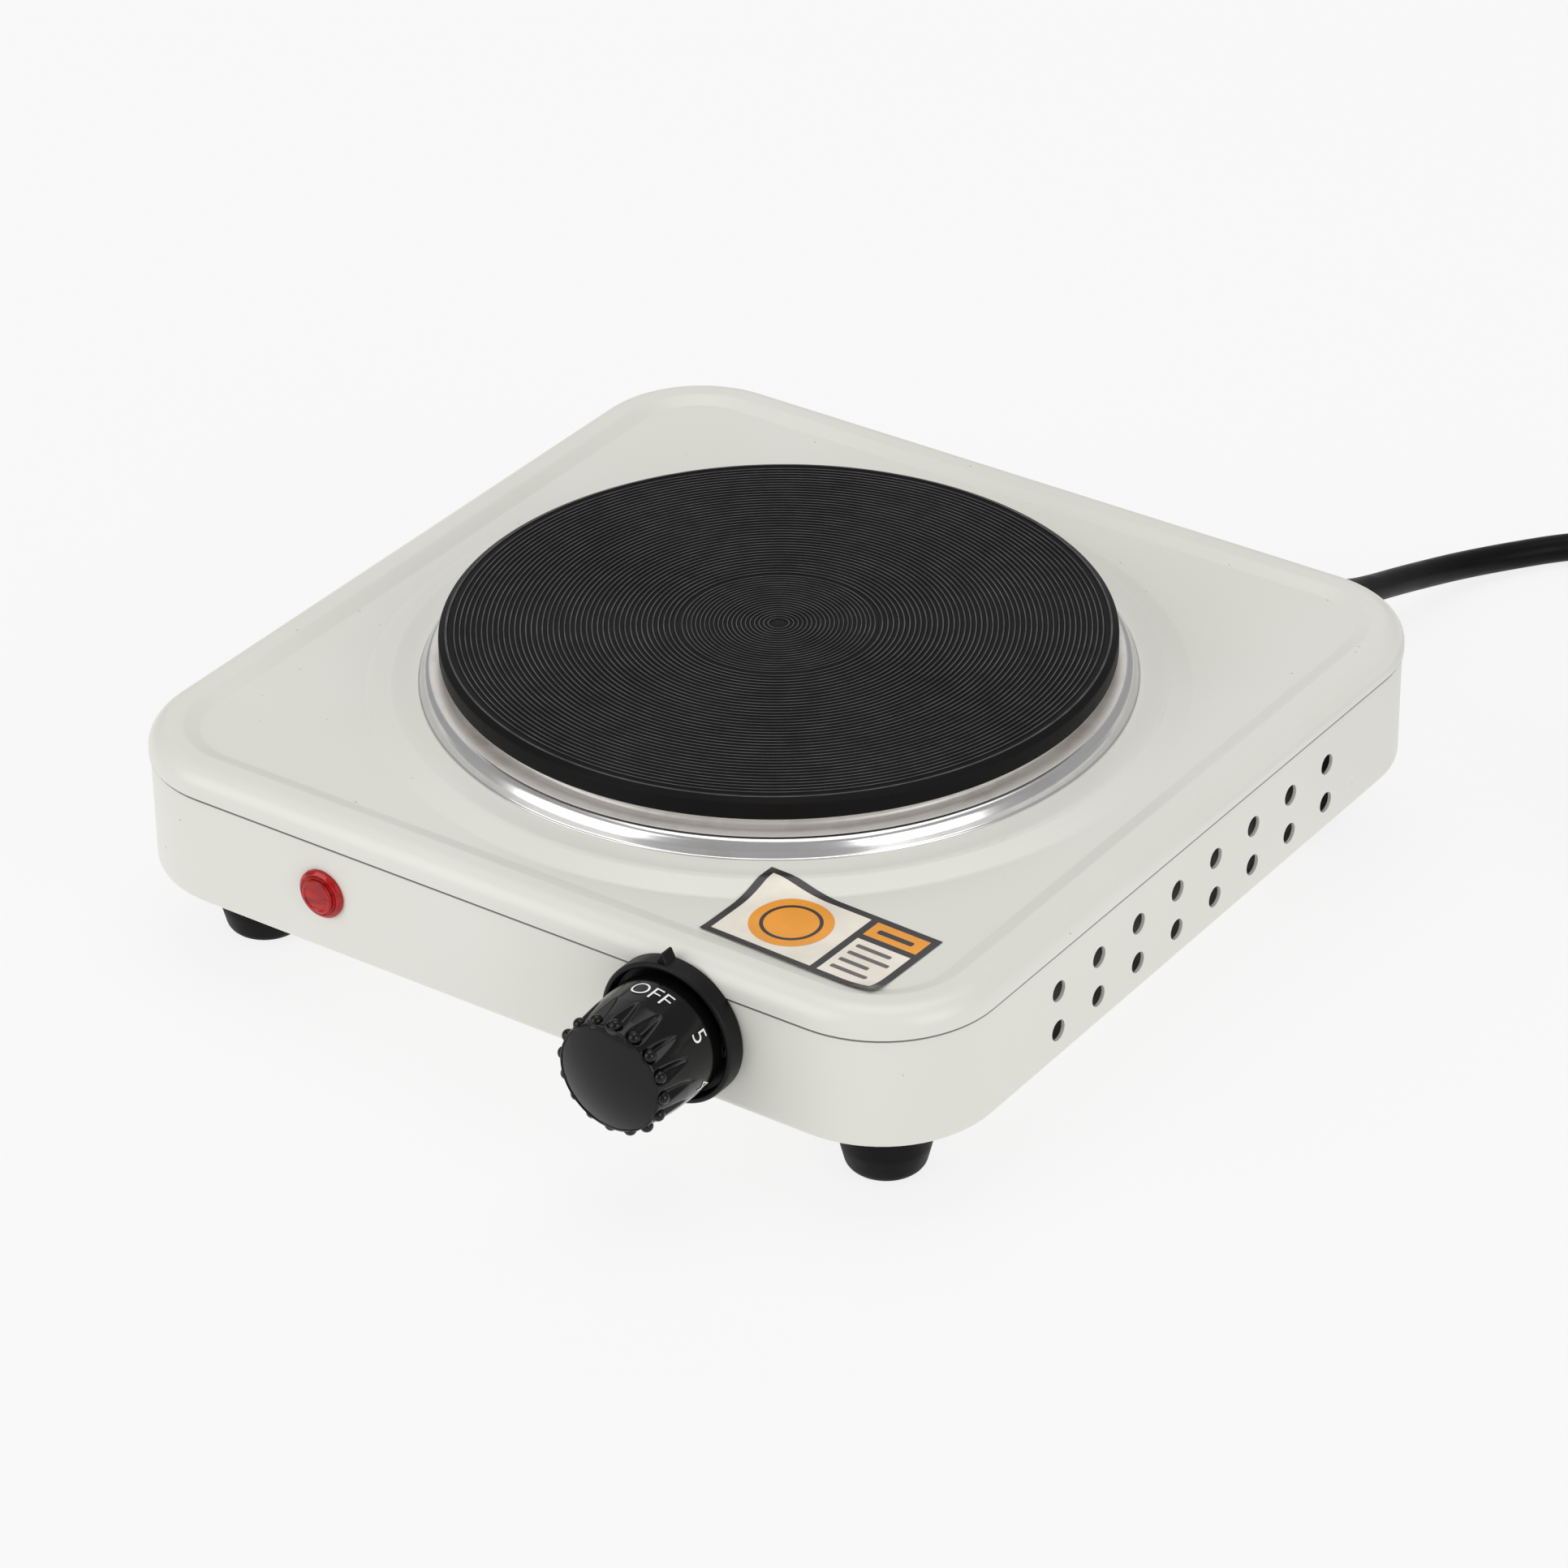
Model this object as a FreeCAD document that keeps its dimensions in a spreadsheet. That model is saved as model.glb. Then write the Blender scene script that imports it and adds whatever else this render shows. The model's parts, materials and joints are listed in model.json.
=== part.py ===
import FreeCAD, Part
import math
import os
import Sketcher
from FreeCAD import Placement, Rotation, Vector

# A single electric hot plate: a pressed steel case on four rubber feet, a cast iron disc in a
# steel trim ring, a dial that turns a bimetal thermostat, a pilot lamp and a mains cord.
# Millimetres. +X is to the user's right, +Y to the back, +Z up, and the floor is z = 0.
# The origin is at the bottom centre of the hot plate's own box, without its cord.

os.makedirs("parts", exist_ok=True)
doc = FreeCAD.newDocument("HotPlate")

SIZES = {
    # case
    "case_half": 111.4,
    "tray_half": 111.1,
    "case_corner": 28.3,
    "sheet_gauge": 0.8,
    "foot_height": 19.5,
    "tray_height": 28.0,
    "seam_gap": 0.35,
    "rim_rise": 6.5,
    "rim_round": 5.0,
    "rim_width": 8.0,
    "panel_slope": 4.0,
    "panel_drop": 1.4,
    "boss_rise": 2.2,
    "boss_outer": 94.5,
    "boss_inner": 89.0,
    "cover_hole": 75.0,
    "lip_inset": 1.3,
    "lip_rise": 4.0,
    # vent holes
    "vent_radius": 2.5,
    "vent_pitch": 16.2,
    "vent_low": 7.8,
    "vent_high": 17.9,
    # heating disc and trim ring
    "disc_forward": 1.9,
    "disc_radius": 77.5,
    "disc_rise": 13.1,
    "disc_rim_height": 5.0,
    "disc_body_radius": 72.5,
    "disc_thickness": 14.0,
    "coil_channel_inner": 24.0,
    "coil_channel_outer": 66.0,
    "coil_channel_depth": 7.0,
    "coil_wire_radius": 1.7,
    "coil_first_radius": 30.0,
    "coil_step": 8.0,
    "ring_outer": 82.5,
    "ring_crest": 80.2,
    "ring_height": 4.4,
    "stud_radius": 4.0,
    # dial and thermostat
    "dial_x": 49.5,
    "dial_rise": 16.8,
    "knob_reach": 27.6,
    "knob_radius": 14.3,
    "bezel_radius": 17.0,
    "bezel_depth": 5.0,
    "shaft_radius": 3.0,
    "shaft_clearance": 0.05,
    "pin_radius": 2.0,
    "screw_offset": 11.0,
    # pilot lamp
    "lamp_x": -47.6,
    "lamp_rise": 15.5,
    "lens_radius": 5.9,
    # feet and fixings
    "foot_offset": 86.0,
    "foot_top_radius": 12.0,
    "foot_base_radius": 9.1,
    # cord, coil and plug
    "cord_x": 60.0,
    "cord_rise": 9.5,
    "cord_radius": 3.5,
    "relief_length": 14.0,
    "coil_x": 154.0,
    "coil_y": 225.4,
    "coil_turn_radius": 38.5,
    "plug_side": 50.0,
    "plug_thickness": 19.0,
}

FLUTES = 16
VENTS_PER_ROW = 8
COIL_TURNS = 4
BOTTOM_SLOTS = 7
LEAD_RADIUS = 1.2
TOUCH = 0.05
FOOT_SIDES = [(-1, -1), (1, -1), (-1, 1), (1, 1)]

# Turns a body made about its own +Z so that it points out of the front or of the back wall.
FRONT = Rotation(Vector(1, 0, 0), 90)
BACK = Rotation(Vector(1, 0, 0), -90)
UPRIGHT = Rotation()


class Dim:
    """A size that carries its number and the spreadsheet formula that it comes from."""

    def __init__(self, number, formula):
        self.number = float(number)
        self.formula = formula

    def _with(self, other, sign, number):
        return Dim(number, f"({self.formula} {sign} {dim(other).formula})")

    def __add__(self, other):
        return self._with(other, "+", self.number + dim(other).number)

    def __sub__(self, other):
        return self._with(other, "-", self.number - dim(other).number)

    def __mul__(self, other):
        return self._with(other, "*", self.number * dim(other).number)

    def __truediv__(self, other):
        return self._with(other, "/", self.number / dim(other).number)

    def __radd__(self, other):
        return dim(other) + self

    def __rsub__(self, other):
        return dim(other) - self

    def __rmul__(self, other):
        return dim(other) * self

    def __neg__(self):
        return Dim(-self.number, f"(0 - {self.formula})")


def dim(value):
    """Give a plain number the form of a Dim."""
    if isinstance(value, Dim):
        return value
    return Dim(value, f"({float(value)})")


def size_sheet():
    """Write the driving sizes into a spreadsheet and return them as Dims."""
    sheet = doc.addObject("Spreadsheet::Sheet", "Sizes")
    dims = {}
    for row, (name, number) in enumerate(SIZES.items(), start=1):
        sheet.set(f"A{row}", name)
        sheet.set(f"B{row}", str(number))
        sheet.setAlias(f"B{row}", name)
        dims[name] = Dim(number, f"Sizes.{name}")
    doc.recompute()
    return dims


S = size_sheet()

# Levels above the floor.
BASE_Z = S["foot_height"]
SEAM_Z = BASE_Z + S["tray_height"]
RIM_Z = SEAM_Z + S["rim_rise"]
PANEL_Z = RIM_Z - S["panel_drop"]
BOSS_Z = PANEL_Z + S["boss_rise"]
DISC_TOP = RIM_Z + S["disc_rise"]
DISC_RIM_Z = DISC_TOP - S["disc_rim_height"]
DISC_UNDER = DISC_TOP - S["disc_thickness"]
FLOOR_Z = BASE_Z + S["sheet_gauge"]

# Places along Y. The knob stands out in front, so the case's centre lies behind the origin.
CASE_Y = (S["tray_half"] + S["knob_reach"] - S["case_half"]) / 2
DISC_Y = CASE_Y - S["disc_forward"]
FRONT_WALL = CASE_Y - S["tray_half"]
BACK_WALL = CASE_Y + S["tray_half"]

DIAL_AT = (S["dial_x"], FRONT_WALL, BASE_Z + S["dial_rise"])
LAMP_AT = (S["lamp_x"], FRONT_WALL, BASE_Z + S["lamp_rise"])
CORD_AT = (S["cord_x"], BACK_WALL, BASE_Z + S["cord_rise"])
DISC_AT = (dim(0), DISC_Y, dim(0))
CASE_AT = (dim(0), CASE_Y, dim(0))

nodes = []


def node(item, label):
    """Mark an object as a finished sub-part with the name of its file."""
    item.Label = label
    nodes.append(item)
    return item


def bind(item, **dims):
    """Tie properties of an object to formulas of the sheet."""
    for prop, value in dims.items():
        item.setExpression(prop, dim(value).formula)
    return item


def place(item, at, turn=UPRIGHT):
    """Put an object at a point given by formulas, turned as asked."""
    item.Placement = Placement(Vector(*(dim(v).number for v in at)), turn)
    for letter, value in zip("xyz", at):
        item.setExpression(f"Placement.Base.{letter}", dim(value).formula)
    return item


def moved(at, across=0, along=0, up=0):
    """A point beside another one."""
    return (dim(at[0]) + across, dim(at[1]) + along, dim(at[2]) + up)


# ---- Part primitives ----

def cylinder(name, radius, height, at, turn=UPRIGHT):
    item = doc.addObject("Part::Cylinder", name)
    bind(item, Radius=radius, Height=height)
    return place(item, at, turn)


def cone(name, radius_low, radius_high, height, at, turn=UPRIGHT):
    item = doc.addObject("Part::Cone", name)
    bind(item, Radius1=radius_low, Radius2=radius_high, Height=height)
    return place(item, at, turn)


def block(name, length, width, height, at, turn=UPRIGHT):
    """A box whose X and Y are centred on its point and whose base is at its point."""
    item = doc.addObject("Part::Box", name)
    bind(item, Length=length, Width=width, Height=height)
    back = turn.multVec(Vector(-dim(length).number / 2, -dim(width).number / 2, 0))
    item.Placement = Placement(Vector(*(dim(v).number for v in at)) + back, turn)
    shift = (back.x, back.y, back.z)
    for letter, value, offset in zip("xyz", at, shift):
        item.setExpression(f"Placement.Base.{letter}", (dim(value) + round(offset, 6)).formula)
    return item


def hexagon(name, circumradius, height, at, turn=UPRIGHT):
    item = doc.addObject("Part::Prism", name)
    item.Polygon = 6
    bind(item, Circumradius=circumradius, Height=height)
    return place(item, at, turn)


def fused(name, items):
    item = doc.addObject("Part::MultiFuse", name)
    item.Shapes = items
    item.Refine = True
    return item


def cut(name, base, tool):
    item = doc.addObject("Part::Cut", name)
    item.Base = base
    item.Tool = tool
    return item


def group(name, items):
    """Separate solids that share one node."""
    item = doc.addObject("Part::Compound", name)
    item.Links = items
    return item


# ---- PartDesign bodies ----

def new_body(name):
    return doc.addObject("PartDesign::Body", name)


def origin_plane(body, role):
    return next(item for item in body.Origin.OriginFeatures if item.Role == role)


def outline(sketch, points):
    """Draw a closed outline of straight edges and tie each corner to its formulas."""
    corners = [(dim(across), dim(up)) for across, up in points]
    spots = [Vector(across.number, up.number, 0) for across, up in corners]
    for index, spot in enumerate(spots):
        sketch.addGeometry(Part.LineSegment(spot, spots[(index + 1) % len(spots)]))
    for index in range(len(spots)):
        following = (index + 1) % len(spots)
        sketch.addConstraint(Sketcher.Constraint("Coincident", index, 2, following, 1))
    for index, corner in enumerate(corners):
        for kind, size in zip(("DistanceX", "DistanceY"), corner):
            limit = Sketcher.Constraint(kind, -1, 1, index, 1, size.number)
            number = sketch.addConstraint(limit)
            sketch.setExpression(f"Constraints[{number}]", size.formula)


def sketch_in(body, name, role, points, lift=0):
    """A sketch on one of the body's own planes, lifted along the plane's normal."""
    sketch = body.newObject("Sketcher::SketchObject", name)
    sketch.AttachmentSupport = (origin_plane(body, role), [""])
    sketch.MapMode = "FlatFace"
    sketch.AttachmentOffset = Placement(Vector(0, 0, dim(lift).number), Rotation())
    sketch.setExpression("AttachmentOffset.Base.z", dim(lift).formula)
    outline(sketch, points)
    return sketch


def round_edges(body, feature, radius, chosen):
    """Round the edges of a feature that the given test picks."""
    doc.recompute()
    names = [f"Edge{n}" for n, edge in enumerate(feature.Shape.Edges, start=1) if chosen(edge)]
    fillet = body.newObject("PartDesign::Fillet", feature.Name + "_round")
    fillet.Base = (feature, names)
    return bind(fillet, Radius=radius)


def turn_feature(body, name, points, middle_y=0):
    """Turn an outline of (radius, height) points about an upright axis of the body."""
    sketch = sketch_in(body, name + "_outline", "XZ_Plane", points, -dim(middle_y))
    turn = body.newObject("PartDesign::Revolution", name + "_turned")
    turn.Profile = sketch
    turn.ReferenceAxis = (sketch, ["V_Axis"])
    turn.Angle = 360
    return turn


def turned(name, points, at, turn=UPRIGHT):
    """A body turned about its own Z axis, then placed."""
    body = new_body(name)
    turn_feature(body, name, points)
    return place(body, at, turn)


def pad_feature(body, name, points, low, high, role="XY_Plane"):
    """Pad an outline between two distances from one of the body's planes."""
    sketch = sketch_in(body, name + "_outline", role, points, low)
    pad = body.newObject("PartDesign::Pad", name + "_pad")
    pad.Profile = sketch
    return bind(pad, Length=dim(high) - low)


def rectangle(half_x, half_y, middle_x=0, middle_y=0):
    low_x, high_x = dim(middle_x) - half_x, dim(middle_x) + half_x
    low_y, high_y = dim(middle_y) - half_y, dim(middle_y) + half_y
    return [(low_x, low_y), (high_x, low_y), (high_x, high_y), (low_x, high_y)]


def is_upright(edge):
    """True for a straight edge along Z."""
    if len(edge.Vertexes) != 2:
        return False
    first, last = (vertex.Point for vertex in edge.Vertexes)
    return abs(first.x - last.x) + abs(first.y - last.y) < 1e-6


def is_at(height, tolerance=1e-4):
    """A test for edges that lie wholly at one height."""
    level = dim(height).number

    def test(edge):
        box = edge.BoundBox
        return abs(box.ZMin - level) < tolerance and abs(box.ZMax - level) < tolerance

    return test


def rounded_slab(body, name, half, corner, low, high):
    """A square slab with rounded corners, centred on the body."""
    pad = pad_feature(body, name, rectangle(half, half), low, high)
    return round_edges(body, pad, corner, is_upright)


# ---- Case ----

def cover_block(name, inset):
    """The solid inside one skin of the cover: the outer skin has no inset."""
    inset = dim(inset)
    body = new_body(name)
    half = S["case_half"] - inset
    slab = rounded_slab(body, name, half, S["case_corner"] - inset, SEAM_Z - inset, RIM_Z - inset)
    rim = round_edges(body, slab, S["rim_round"] - inset, is_at(RIM_Z - inset))
    doc.recompute()
    inner = half - S["rim_width"] - S["panel_slope"] + inset
    corner = S["case_corner"] - S["rim_width"] - S["panel_slope"] + inset
    sunken = body.newObject("PartDesign::SubtractiveLoft", name + "_panel")
    levels = ((inner + S["panel_slope"], corner + S["panel_slope"], RIM_Z - inset),
              (inner, corner, PANEL_Z - inset))
    sketches = [rounded_square(body, f"{name}_panel_{n}", *level)
                for n, level in enumerate(levels)]
    sunken.Profile = sketches[0]
    sunken.Sections = sketches[1:]
    sunken.Ruled = True
    doc.recompute()
    step = round_edges(body, sunken, 1.6, is_at(PANEL_Z - inset))
    crest = round_edges(body, step, 2.4, lambda edge: on_step_crest(edge, inset, inner))
    boss = [
        (0, PANEL_Z - inset - 1),
        (S["boss_outer"], PANEL_Z - inset - 1),
        (S["boss_outer"], PANEL_Z - inset),
        (S["boss_inner"], BOSS_Z - inset),
        (0, BOSS_Z - inset),
    ]
    raised = turn_feature(body, name + "_boss", boss, -S["disc_forward"])
    foot = round_edges(body, raised, 2.5, is_circle(S["boss_outer"], PANEL_Z - inset))
    round_edges(body, foot, 3.5, is_circle(S["boss_inner"], BOSS_Z - inset))
    return place(body, CASE_AT)


def rounded_square(body, name, half, corner, height):
    """A sketch of a square with rounded corners, tied to its half width and corner radius."""
    half, corner, height = dim(half), dim(corner), dim(height)
    sketch = body.newObject("Sketcher::SketchObject", name)
    sketch.AttachmentSupport = (origin_plane(body, "XY_Plane"), [""])
    sketch.MapMode = "FlatFace"
    sketch.AttachmentOffset = Placement(Vector(0, 0, height.number), Rotation())
    sketch.setExpression("AttachmentOffset.Base.z", height.formula)
    flat, reach = (half - corner).number, half.number
    middles = [(1, 1), (-1, 1), (-1, -1), (1, -1)]
    for number, (side_x, side_y) in enumerate(middles):
        circle = Part.Circle(Vector(side_x * flat, side_y * flat, 0), Vector(0, 0, 1), corner.number)
        start = number * math.pi / 2
        sketch.addGeometry(Part.ArcOfCircle(circle, start, start + math.pi / 2))
        corner_from = Vector(*((flat, reach), (-reach, flat), (-flat, -reach), (reach, -flat))[number])
        corner_to = Vector(*((-flat, reach), (-reach, -flat), (flat, -reach), (reach, flat))[number])
        sketch.addGeometry(Part.LineSegment(corner_from, corner_to))
    for number in range(4):
        arc, line, following = 2 * number, 2 * number + 1, (2 * number + 2) % 8
        sketch.addConstraint(Sketcher.Constraint("Tangent", arc, 2, line, 1))
        sketch.addConstraint(Sketcher.Constraint("Tangent", line, 2, following, 1))
    for number, (side_x, side_y) in enumerate(middles):
        for kind, side in (("DistanceX", side_x), ("DistanceY", side_y)):
            spot = (half - corner) * side
            limit = Sketcher.Constraint(kind, -1, 1, 2 * number, 3, spot.number)
            sketch.setExpression(f"Constraints[{sketch.addConstraint(limit)}]", spot.formula)
    limit = Sketcher.Constraint("Radius", 0, corner.number)
    sketch.setExpression(f"Constraints[{sketch.addConstraint(limit)}]", corner.formula)
    return sketch


def on_step_crest(edge, inset, inner):
    """True for the edges where the rim's top turns down to the panel."""
    box = edge.BoundBox
    reach = max(abs(box.XMin), abs(box.XMax), abs(box.YMin), abs(box.YMax))
    level = (RIM_Z - inset).number
    crest = (inner + S["panel_slope"]).number
    return abs(box.ZMin - level) < 1e-3 and abs(box.ZMax - level) < 1e-3 and reach < crest + 0.01


def is_circle(radius, height):
    """A test for a full circle of one radius at one height."""
    def test(edge):
        curve = edge.Curve
        same_height = abs(edge.BoundBox.ZMin - dim(height).number) < 1e-3
        round_one = isinstance(curve, Part.Circle)
        return same_height and round_one and abs(curve.Radius - dim(radius).number) < 1e-3

    return test


def top_cover():
    """Pressed steel cover: rounded rim, sunken panel and a round boss about the disc's hole."""
    outer = cover_block("cover_outside", 0)
    inner = cover_block("cover_inside", S["sheet_gauge"])
    hole = cylinder("cover_hole_tool", S["cover_hole"], 30, moved(DISC_AT, up=SEAM_Z))
    return node(cut("cover_shell", outer, fused("cover_hollow", [inner, hole])), "top_cover")


def tray_block(name, inset):
    """The solid inside one skin of the tray's wall and bottom."""
    inset = dim(inset)
    body = new_body(name)
    low = BASE_Z + inset
    slab = rounded_slab(body, name, S["tray_half"] - inset, S["case_corner"] - inset,
                        low, SEAM_Z - S["seam_gap"] + inset)
    round_edges(body, slab, 2.0 - inset, is_at(low))
    return place(body, CASE_AT)


def tray_lip():
    """The joggled lip at the tray's top edge, which stands inside the cover's skirt."""
    gauge = S["sheet_gauge"]
    top = SEAM_Z - S["seam_gap"]
    web_body, lip_body, bore_body = new_body("lip_web"), new_body("lip_wall"), new_body("lip_bore")
    outer = S["lip_inset"]
    inner = outer + gauge
    rounded_slab(web_body, "lip_web", S["tray_half"] - TOUCH, S["case_corner"], top - gauge, top)
    rounded_slab(lip_body, "lip_wall", S["tray_half"] - outer, S["case_corner"] - outer,
                 top - gauge, top + S["lip_rise"])
    rounded_slab(bore_body, "lip_bore", S["tray_half"] - inner, S["case_corner"] - inner,
                 top - gauge * 2, top + S["lip_rise"] * 2)
    solid = fused("lip_solid", [place(web_body, CASE_AT), place(lip_body, CASE_AT)])
    return cut("lip", solid, place(bore_body, CASE_AT))


def tray_openings():
    """Vent holes in both sides, slots in the bottom, and the holes for what passes the walls."""
    tools = []
    for row, height in enumerate((S["vent_low"], S["vent_high"])):
        for number in range(VENTS_PER_ROW):
            along = S["vent_pitch"] * (number - (VENTS_PER_ROW - 1) / 2)
            start = (-S["tray_half"] - 5, CASE_Y + along, BASE_Z + height)
            tools.append(cylinder(f"vent_{row}_{number}", S["vent_radius"], S["tray_half"] * 2 + 10,
                                  start, Rotation(Vector(0, 1, 0), 90)))
    for number in range(BOTTOM_SLOTS):
        along = 12.0 * (number - (BOTTOM_SLOTS - 1) / 2)
        tools.append(block(f"bottom_slot_{number}", 70, 4, 4, (dim(0), CASE_Y + along, BASE_Z - 1)))
    inward = moved(DIAL_AT, along=5)
    tools.append(cylinder("dial_hole", 5.2, 10, inward, FRONT))
    tools.append(cylinder("lamp_hole", 5.1, 10, moved(LAMP_AT, along=5), FRONT))
    tools.append(cylinder("cord_hole", 6.0, 10, moved(CORD_AT, along=-5), BACK))
    for side in (-1, 1):
        spot = moved(inward, across=S["screw_offset"] * side)
        tools.append(cylinder(f"dial_screw_hole_{side + 1}", 2.1, 10, spot, FRONT))
    for side_x, side_y in FOOT_SIDES:
        tools.append(cylinder(f"foot_hole_{side_x + 1}{side_y + 1}", 2.2, 4,
                              foot_at(side_x, side_y, BASE_Z - 1)))
    return fused("tray_tools", tools)


def foot_at(side_x, side_y, height):
    return (S["foot_offset"] * side_x, CASE_Y + S["foot_offset"] * side_y, dim(height))


def base_tray():
    """Pressed steel tray: walls and bottom in one piece, with a lip for the cover."""
    outer = tray_block("tray_outside", 0)
    inner = tray_block("tray_inside", S["sheet_gauge"])
    shell = cut("tray_shell", outer, inner)
    whole = fused("tray_with_lip", [shell, tray_lip()])
    return node(cut("tray_pierced", whole, tray_openings()), "base_tray")


def feet_and_fixings():
    """Four rubber feet, the screws through them and the posts that the screws pull down."""
    names = {(-1, -1): "foot_front_left", (1, -1): "foot_front_right",
             (-1, 1): "foot_rear_left", (1, 1): "foot_rear_right"}
    screws, posts = [], []
    recess = 9.0
    for side_x, side_y in FOOT_SIDES:
        name = names[side_x, side_y]
        profile = [
            (2.2, recess), (4.3, recess), (4.3, 0), (S["foot_base_radius"], 0),
            (S["foot_top_radius"] - 1.0, 9), (S["foot_top_radius"], S["foot_height"]),
            (2.2, S["foot_height"]),
        ]
        body = turned(name + "_body", profile, foot_at(side_x, side_y, 0))
        round_edges(body, body.Tip, 3.0, is_circle(S["foot_base_radius"], 0))
        node(body, name)
        tag = name.replace("foot_", "")
        head = cylinder(f"screw_head_{tag}", 3.8, 2.6, foot_at(side_x, side_y, recess - 2.6))
        shank = cylinder(f"screw_shank_{tag}", 1.95, 24, foot_at(side_x, side_y, recess - 0.5))
        slot = block(f"screw_slot_{tag}", 5.6, 0.9, 1.2, foot_at(side_x, side_y, recess - 2.7))
        screws.append(cut(f"screw_{tag}", fused(f"screw_blank_{tag}", [head, shank]), slot))
        height = PANEL_Z - S["sheet_gauge"] - FLOOR_Z
        post = hexagon(f"post_blank_{tag}", 4.6, height, foot_at(side_x, side_y, FLOOR_Z))
        bore = cylinder(f"post_bore_{tag}", 2.0, 16, foot_at(side_x, side_y, FLOOR_Z - 1))
        posts.append(cut(f"post_{tag}", post, bore))
    node(group("foot_screw_group", screws), "foot_screws")
    node(group("cover_post_group", posts), "cover_posts")


# ---- Heating disc ----

def heating_disc():
    """Cast iron disc: a wide rim on top, a narrower body below with a channel for the coil."""
    rim, body_radius = S["disc_radius"], S["disc_body_radius"]
    channel_top = DISC_UNDER + S["coil_channel_depth"]
    profile = [
        (S["stud_radius"], DISC_UNDER), (S["coil_channel_inner"], DISC_UNDER),
        (S["coil_channel_inner"], channel_top), (S["coil_channel_outer"], channel_top),
        (S["coil_channel_outer"], DISC_UNDER), (body_radius, DISC_UNDER),
        (body_radius, DISC_RIM_Z), (rim - 0.5, DISC_RIM_Z), (rim, DISC_RIM_Z + 0.5),
        (rim, DISC_TOP - 1.0), (rim - 0.9, DISC_TOP), (0, DISC_TOP),
        (0, DISC_UNDER + 9), (S["stud_radius"], DISC_UNDER + 9),
    ]
    return node(turned("disc_body", profile, DISC_AT), "heating_disc")


def trim_ring():
    """Thin steel ring: a sloping outside, a low hump and a collar that stands up to the disc's rim."""
    outer, crest = S["ring_outer"], S["ring_crest"]
    gauge = 0.6
    top = BOSS_Z + S["ring_height"]
    collar = S["disc_body_radius"] + 0.6
    profile = [
        (outer, BOSS_Z), (outer - 0.35, BOSS_Z + 1.2), (crest + 0.7, top - 1.0), (crest, top - 0.4),
        (crest - 1.2, top), (crest - 2.6, top - 0.1), (collar + gauge + 0.8, top - 1.3),
        (collar + gauge, top - 0.9), (collar + gauge, DISC_RIM_Z), (collar, DISC_RIM_Z),
        (collar, top - 1.6), (collar + 0.7, top - 2.0), (crest - 2.6, top - 0.7), (crest - 1.2, top - 0.6),
        (crest - 0.3, top - 0.9), (crest + 0.2, top - 1.4), (outer - 1.0, BOSS_Z + 1.1),
        (outer - 0.7, BOSS_Z),
    ]
    return node(turned("ring_body", profile, DISC_AT), "trim_ring")


def coil_path(height):
    """A flat spiral of half circles with both ends bent down, as one wire about the disc's axis."""
    first, step = S["coil_first_radius"].number, S["coil_step"].number / 2
    bend = height - DISC_UNDER.number
    tail_length = 9.0
    edges, middle, radius = [], 0.0, first
    for half in range(2 * COIL_TURNS - 1):
        side = 1 if half % 2 == 0 else -1
        start, end = Vector(0, middle + side * radius, height), Vector(0, middle - side * radius, height)
        mid = Vector(-side * radius, middle, height)
        edges.append(Part.Arc(start, mid, end).toShape())
        middle += side * step
        radius += step
    last = edges[-1].Vertexes[-1].Point
    begin = Vector(0, first, height)
    tails = []
    for spot, way in ((begin, 1), (last, 1 if len(edges) % 2 else -1)):
        out = Vector(way * bend, 0, 0)
        corner = bend * (1 - math.sqrt(0.5))
        elbow_mid = spot + Vector(way * (bend - corner), 0, -corner)
        elbow_end = spot + out + Vector(0, 0, -bend)
        elbow = Part.Arc(spot, elbow_mid, elbow_end).toShape()
        stem = Part.LineSegment(elbow_end, elbow_end - Vector(0, 0, tail_length)).toShape()
        tails.append((elbow, stem, elbow_end))
    wire = Part.Wire(Part.__sortEdges__(
        [tails[0][1], tails[0][0]] + edges + [tails[1][0], tails[1][1]]))
    return wire, [tail[2] for tail in tails]


def pipe(wire, radius):
    """A round bar along a wire of straight runs and tangent arcs."""
    start = wire.OrderedVertexes[0].Point
    along = wire.OrderedEdges[0].tangentAt(wire.OrderedEdges[0].FirstParameter)
    if (wire.OrderedEdges[0].valueAt(wire.OrderedEdges[0].FirstParameter) - start).Length > 1e-6:
        along = wire.OrderedEdges[0].tangentAt(wire.OrderedEdges[0].LastParameter) * -1
    ring = Part.Wire([Part.Circle(start, along, radius).toShape()])
    return wire.makePipeShell([ring], True, True)


def solid_feature(name, shape, at=(0, 0, 0)):
    """A sub-part whose shape is computed here from the sheet's sizes."""
    item = doc.addObject("Part::Feature", name)
    item.Shape = shape
    return place(item, at)


def coil_and_bed():
    """The heating coil and the bed of pressed insulation that fills the disc's channel."""
    height = (DISC_UNDER + S["coil_channel_depth"] - 3.0).number
    wire, ends = coil_path(height)
    coil = solid_feature("coil_shape", pipe(wire, S["coil_wire_radius"].number), DISC_AT)
    node(coil, "heating_coil")
    profile = [
        (S["coil_channel_inner"], DISC_UNDER), (S["coil_channel_outer"], DISC_UNDER),
        (S["coil_channel_outer"], DISC_UNDER + S["coil_channel_depth"]),
        (S["coil_channel_inner"], DISC_UNDER + S["coil_channel_depth"]),
    ]
    node(cut("bed_shape", turned("bed_blank", profile, DISC_AT), coil), "coil_insulation")
    beads = []
    for number, end in enumerate(ends):
        spot = moved(DISC_AT, end.x, end.y, DISC_UNDER - 7)
        bead = cylinder(f"bead_blank_{number}", 4.0, 7, spot)
        bore = cylinder(f"bead_bore_{number}", S["coil_wire_radius"], 20, moved(spot, up=-5))
        beads.append(cut(f"bead_{number}", bead, bore))
    node(group("bead_group", beads), "coil_end_beads")
    return ends


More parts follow.
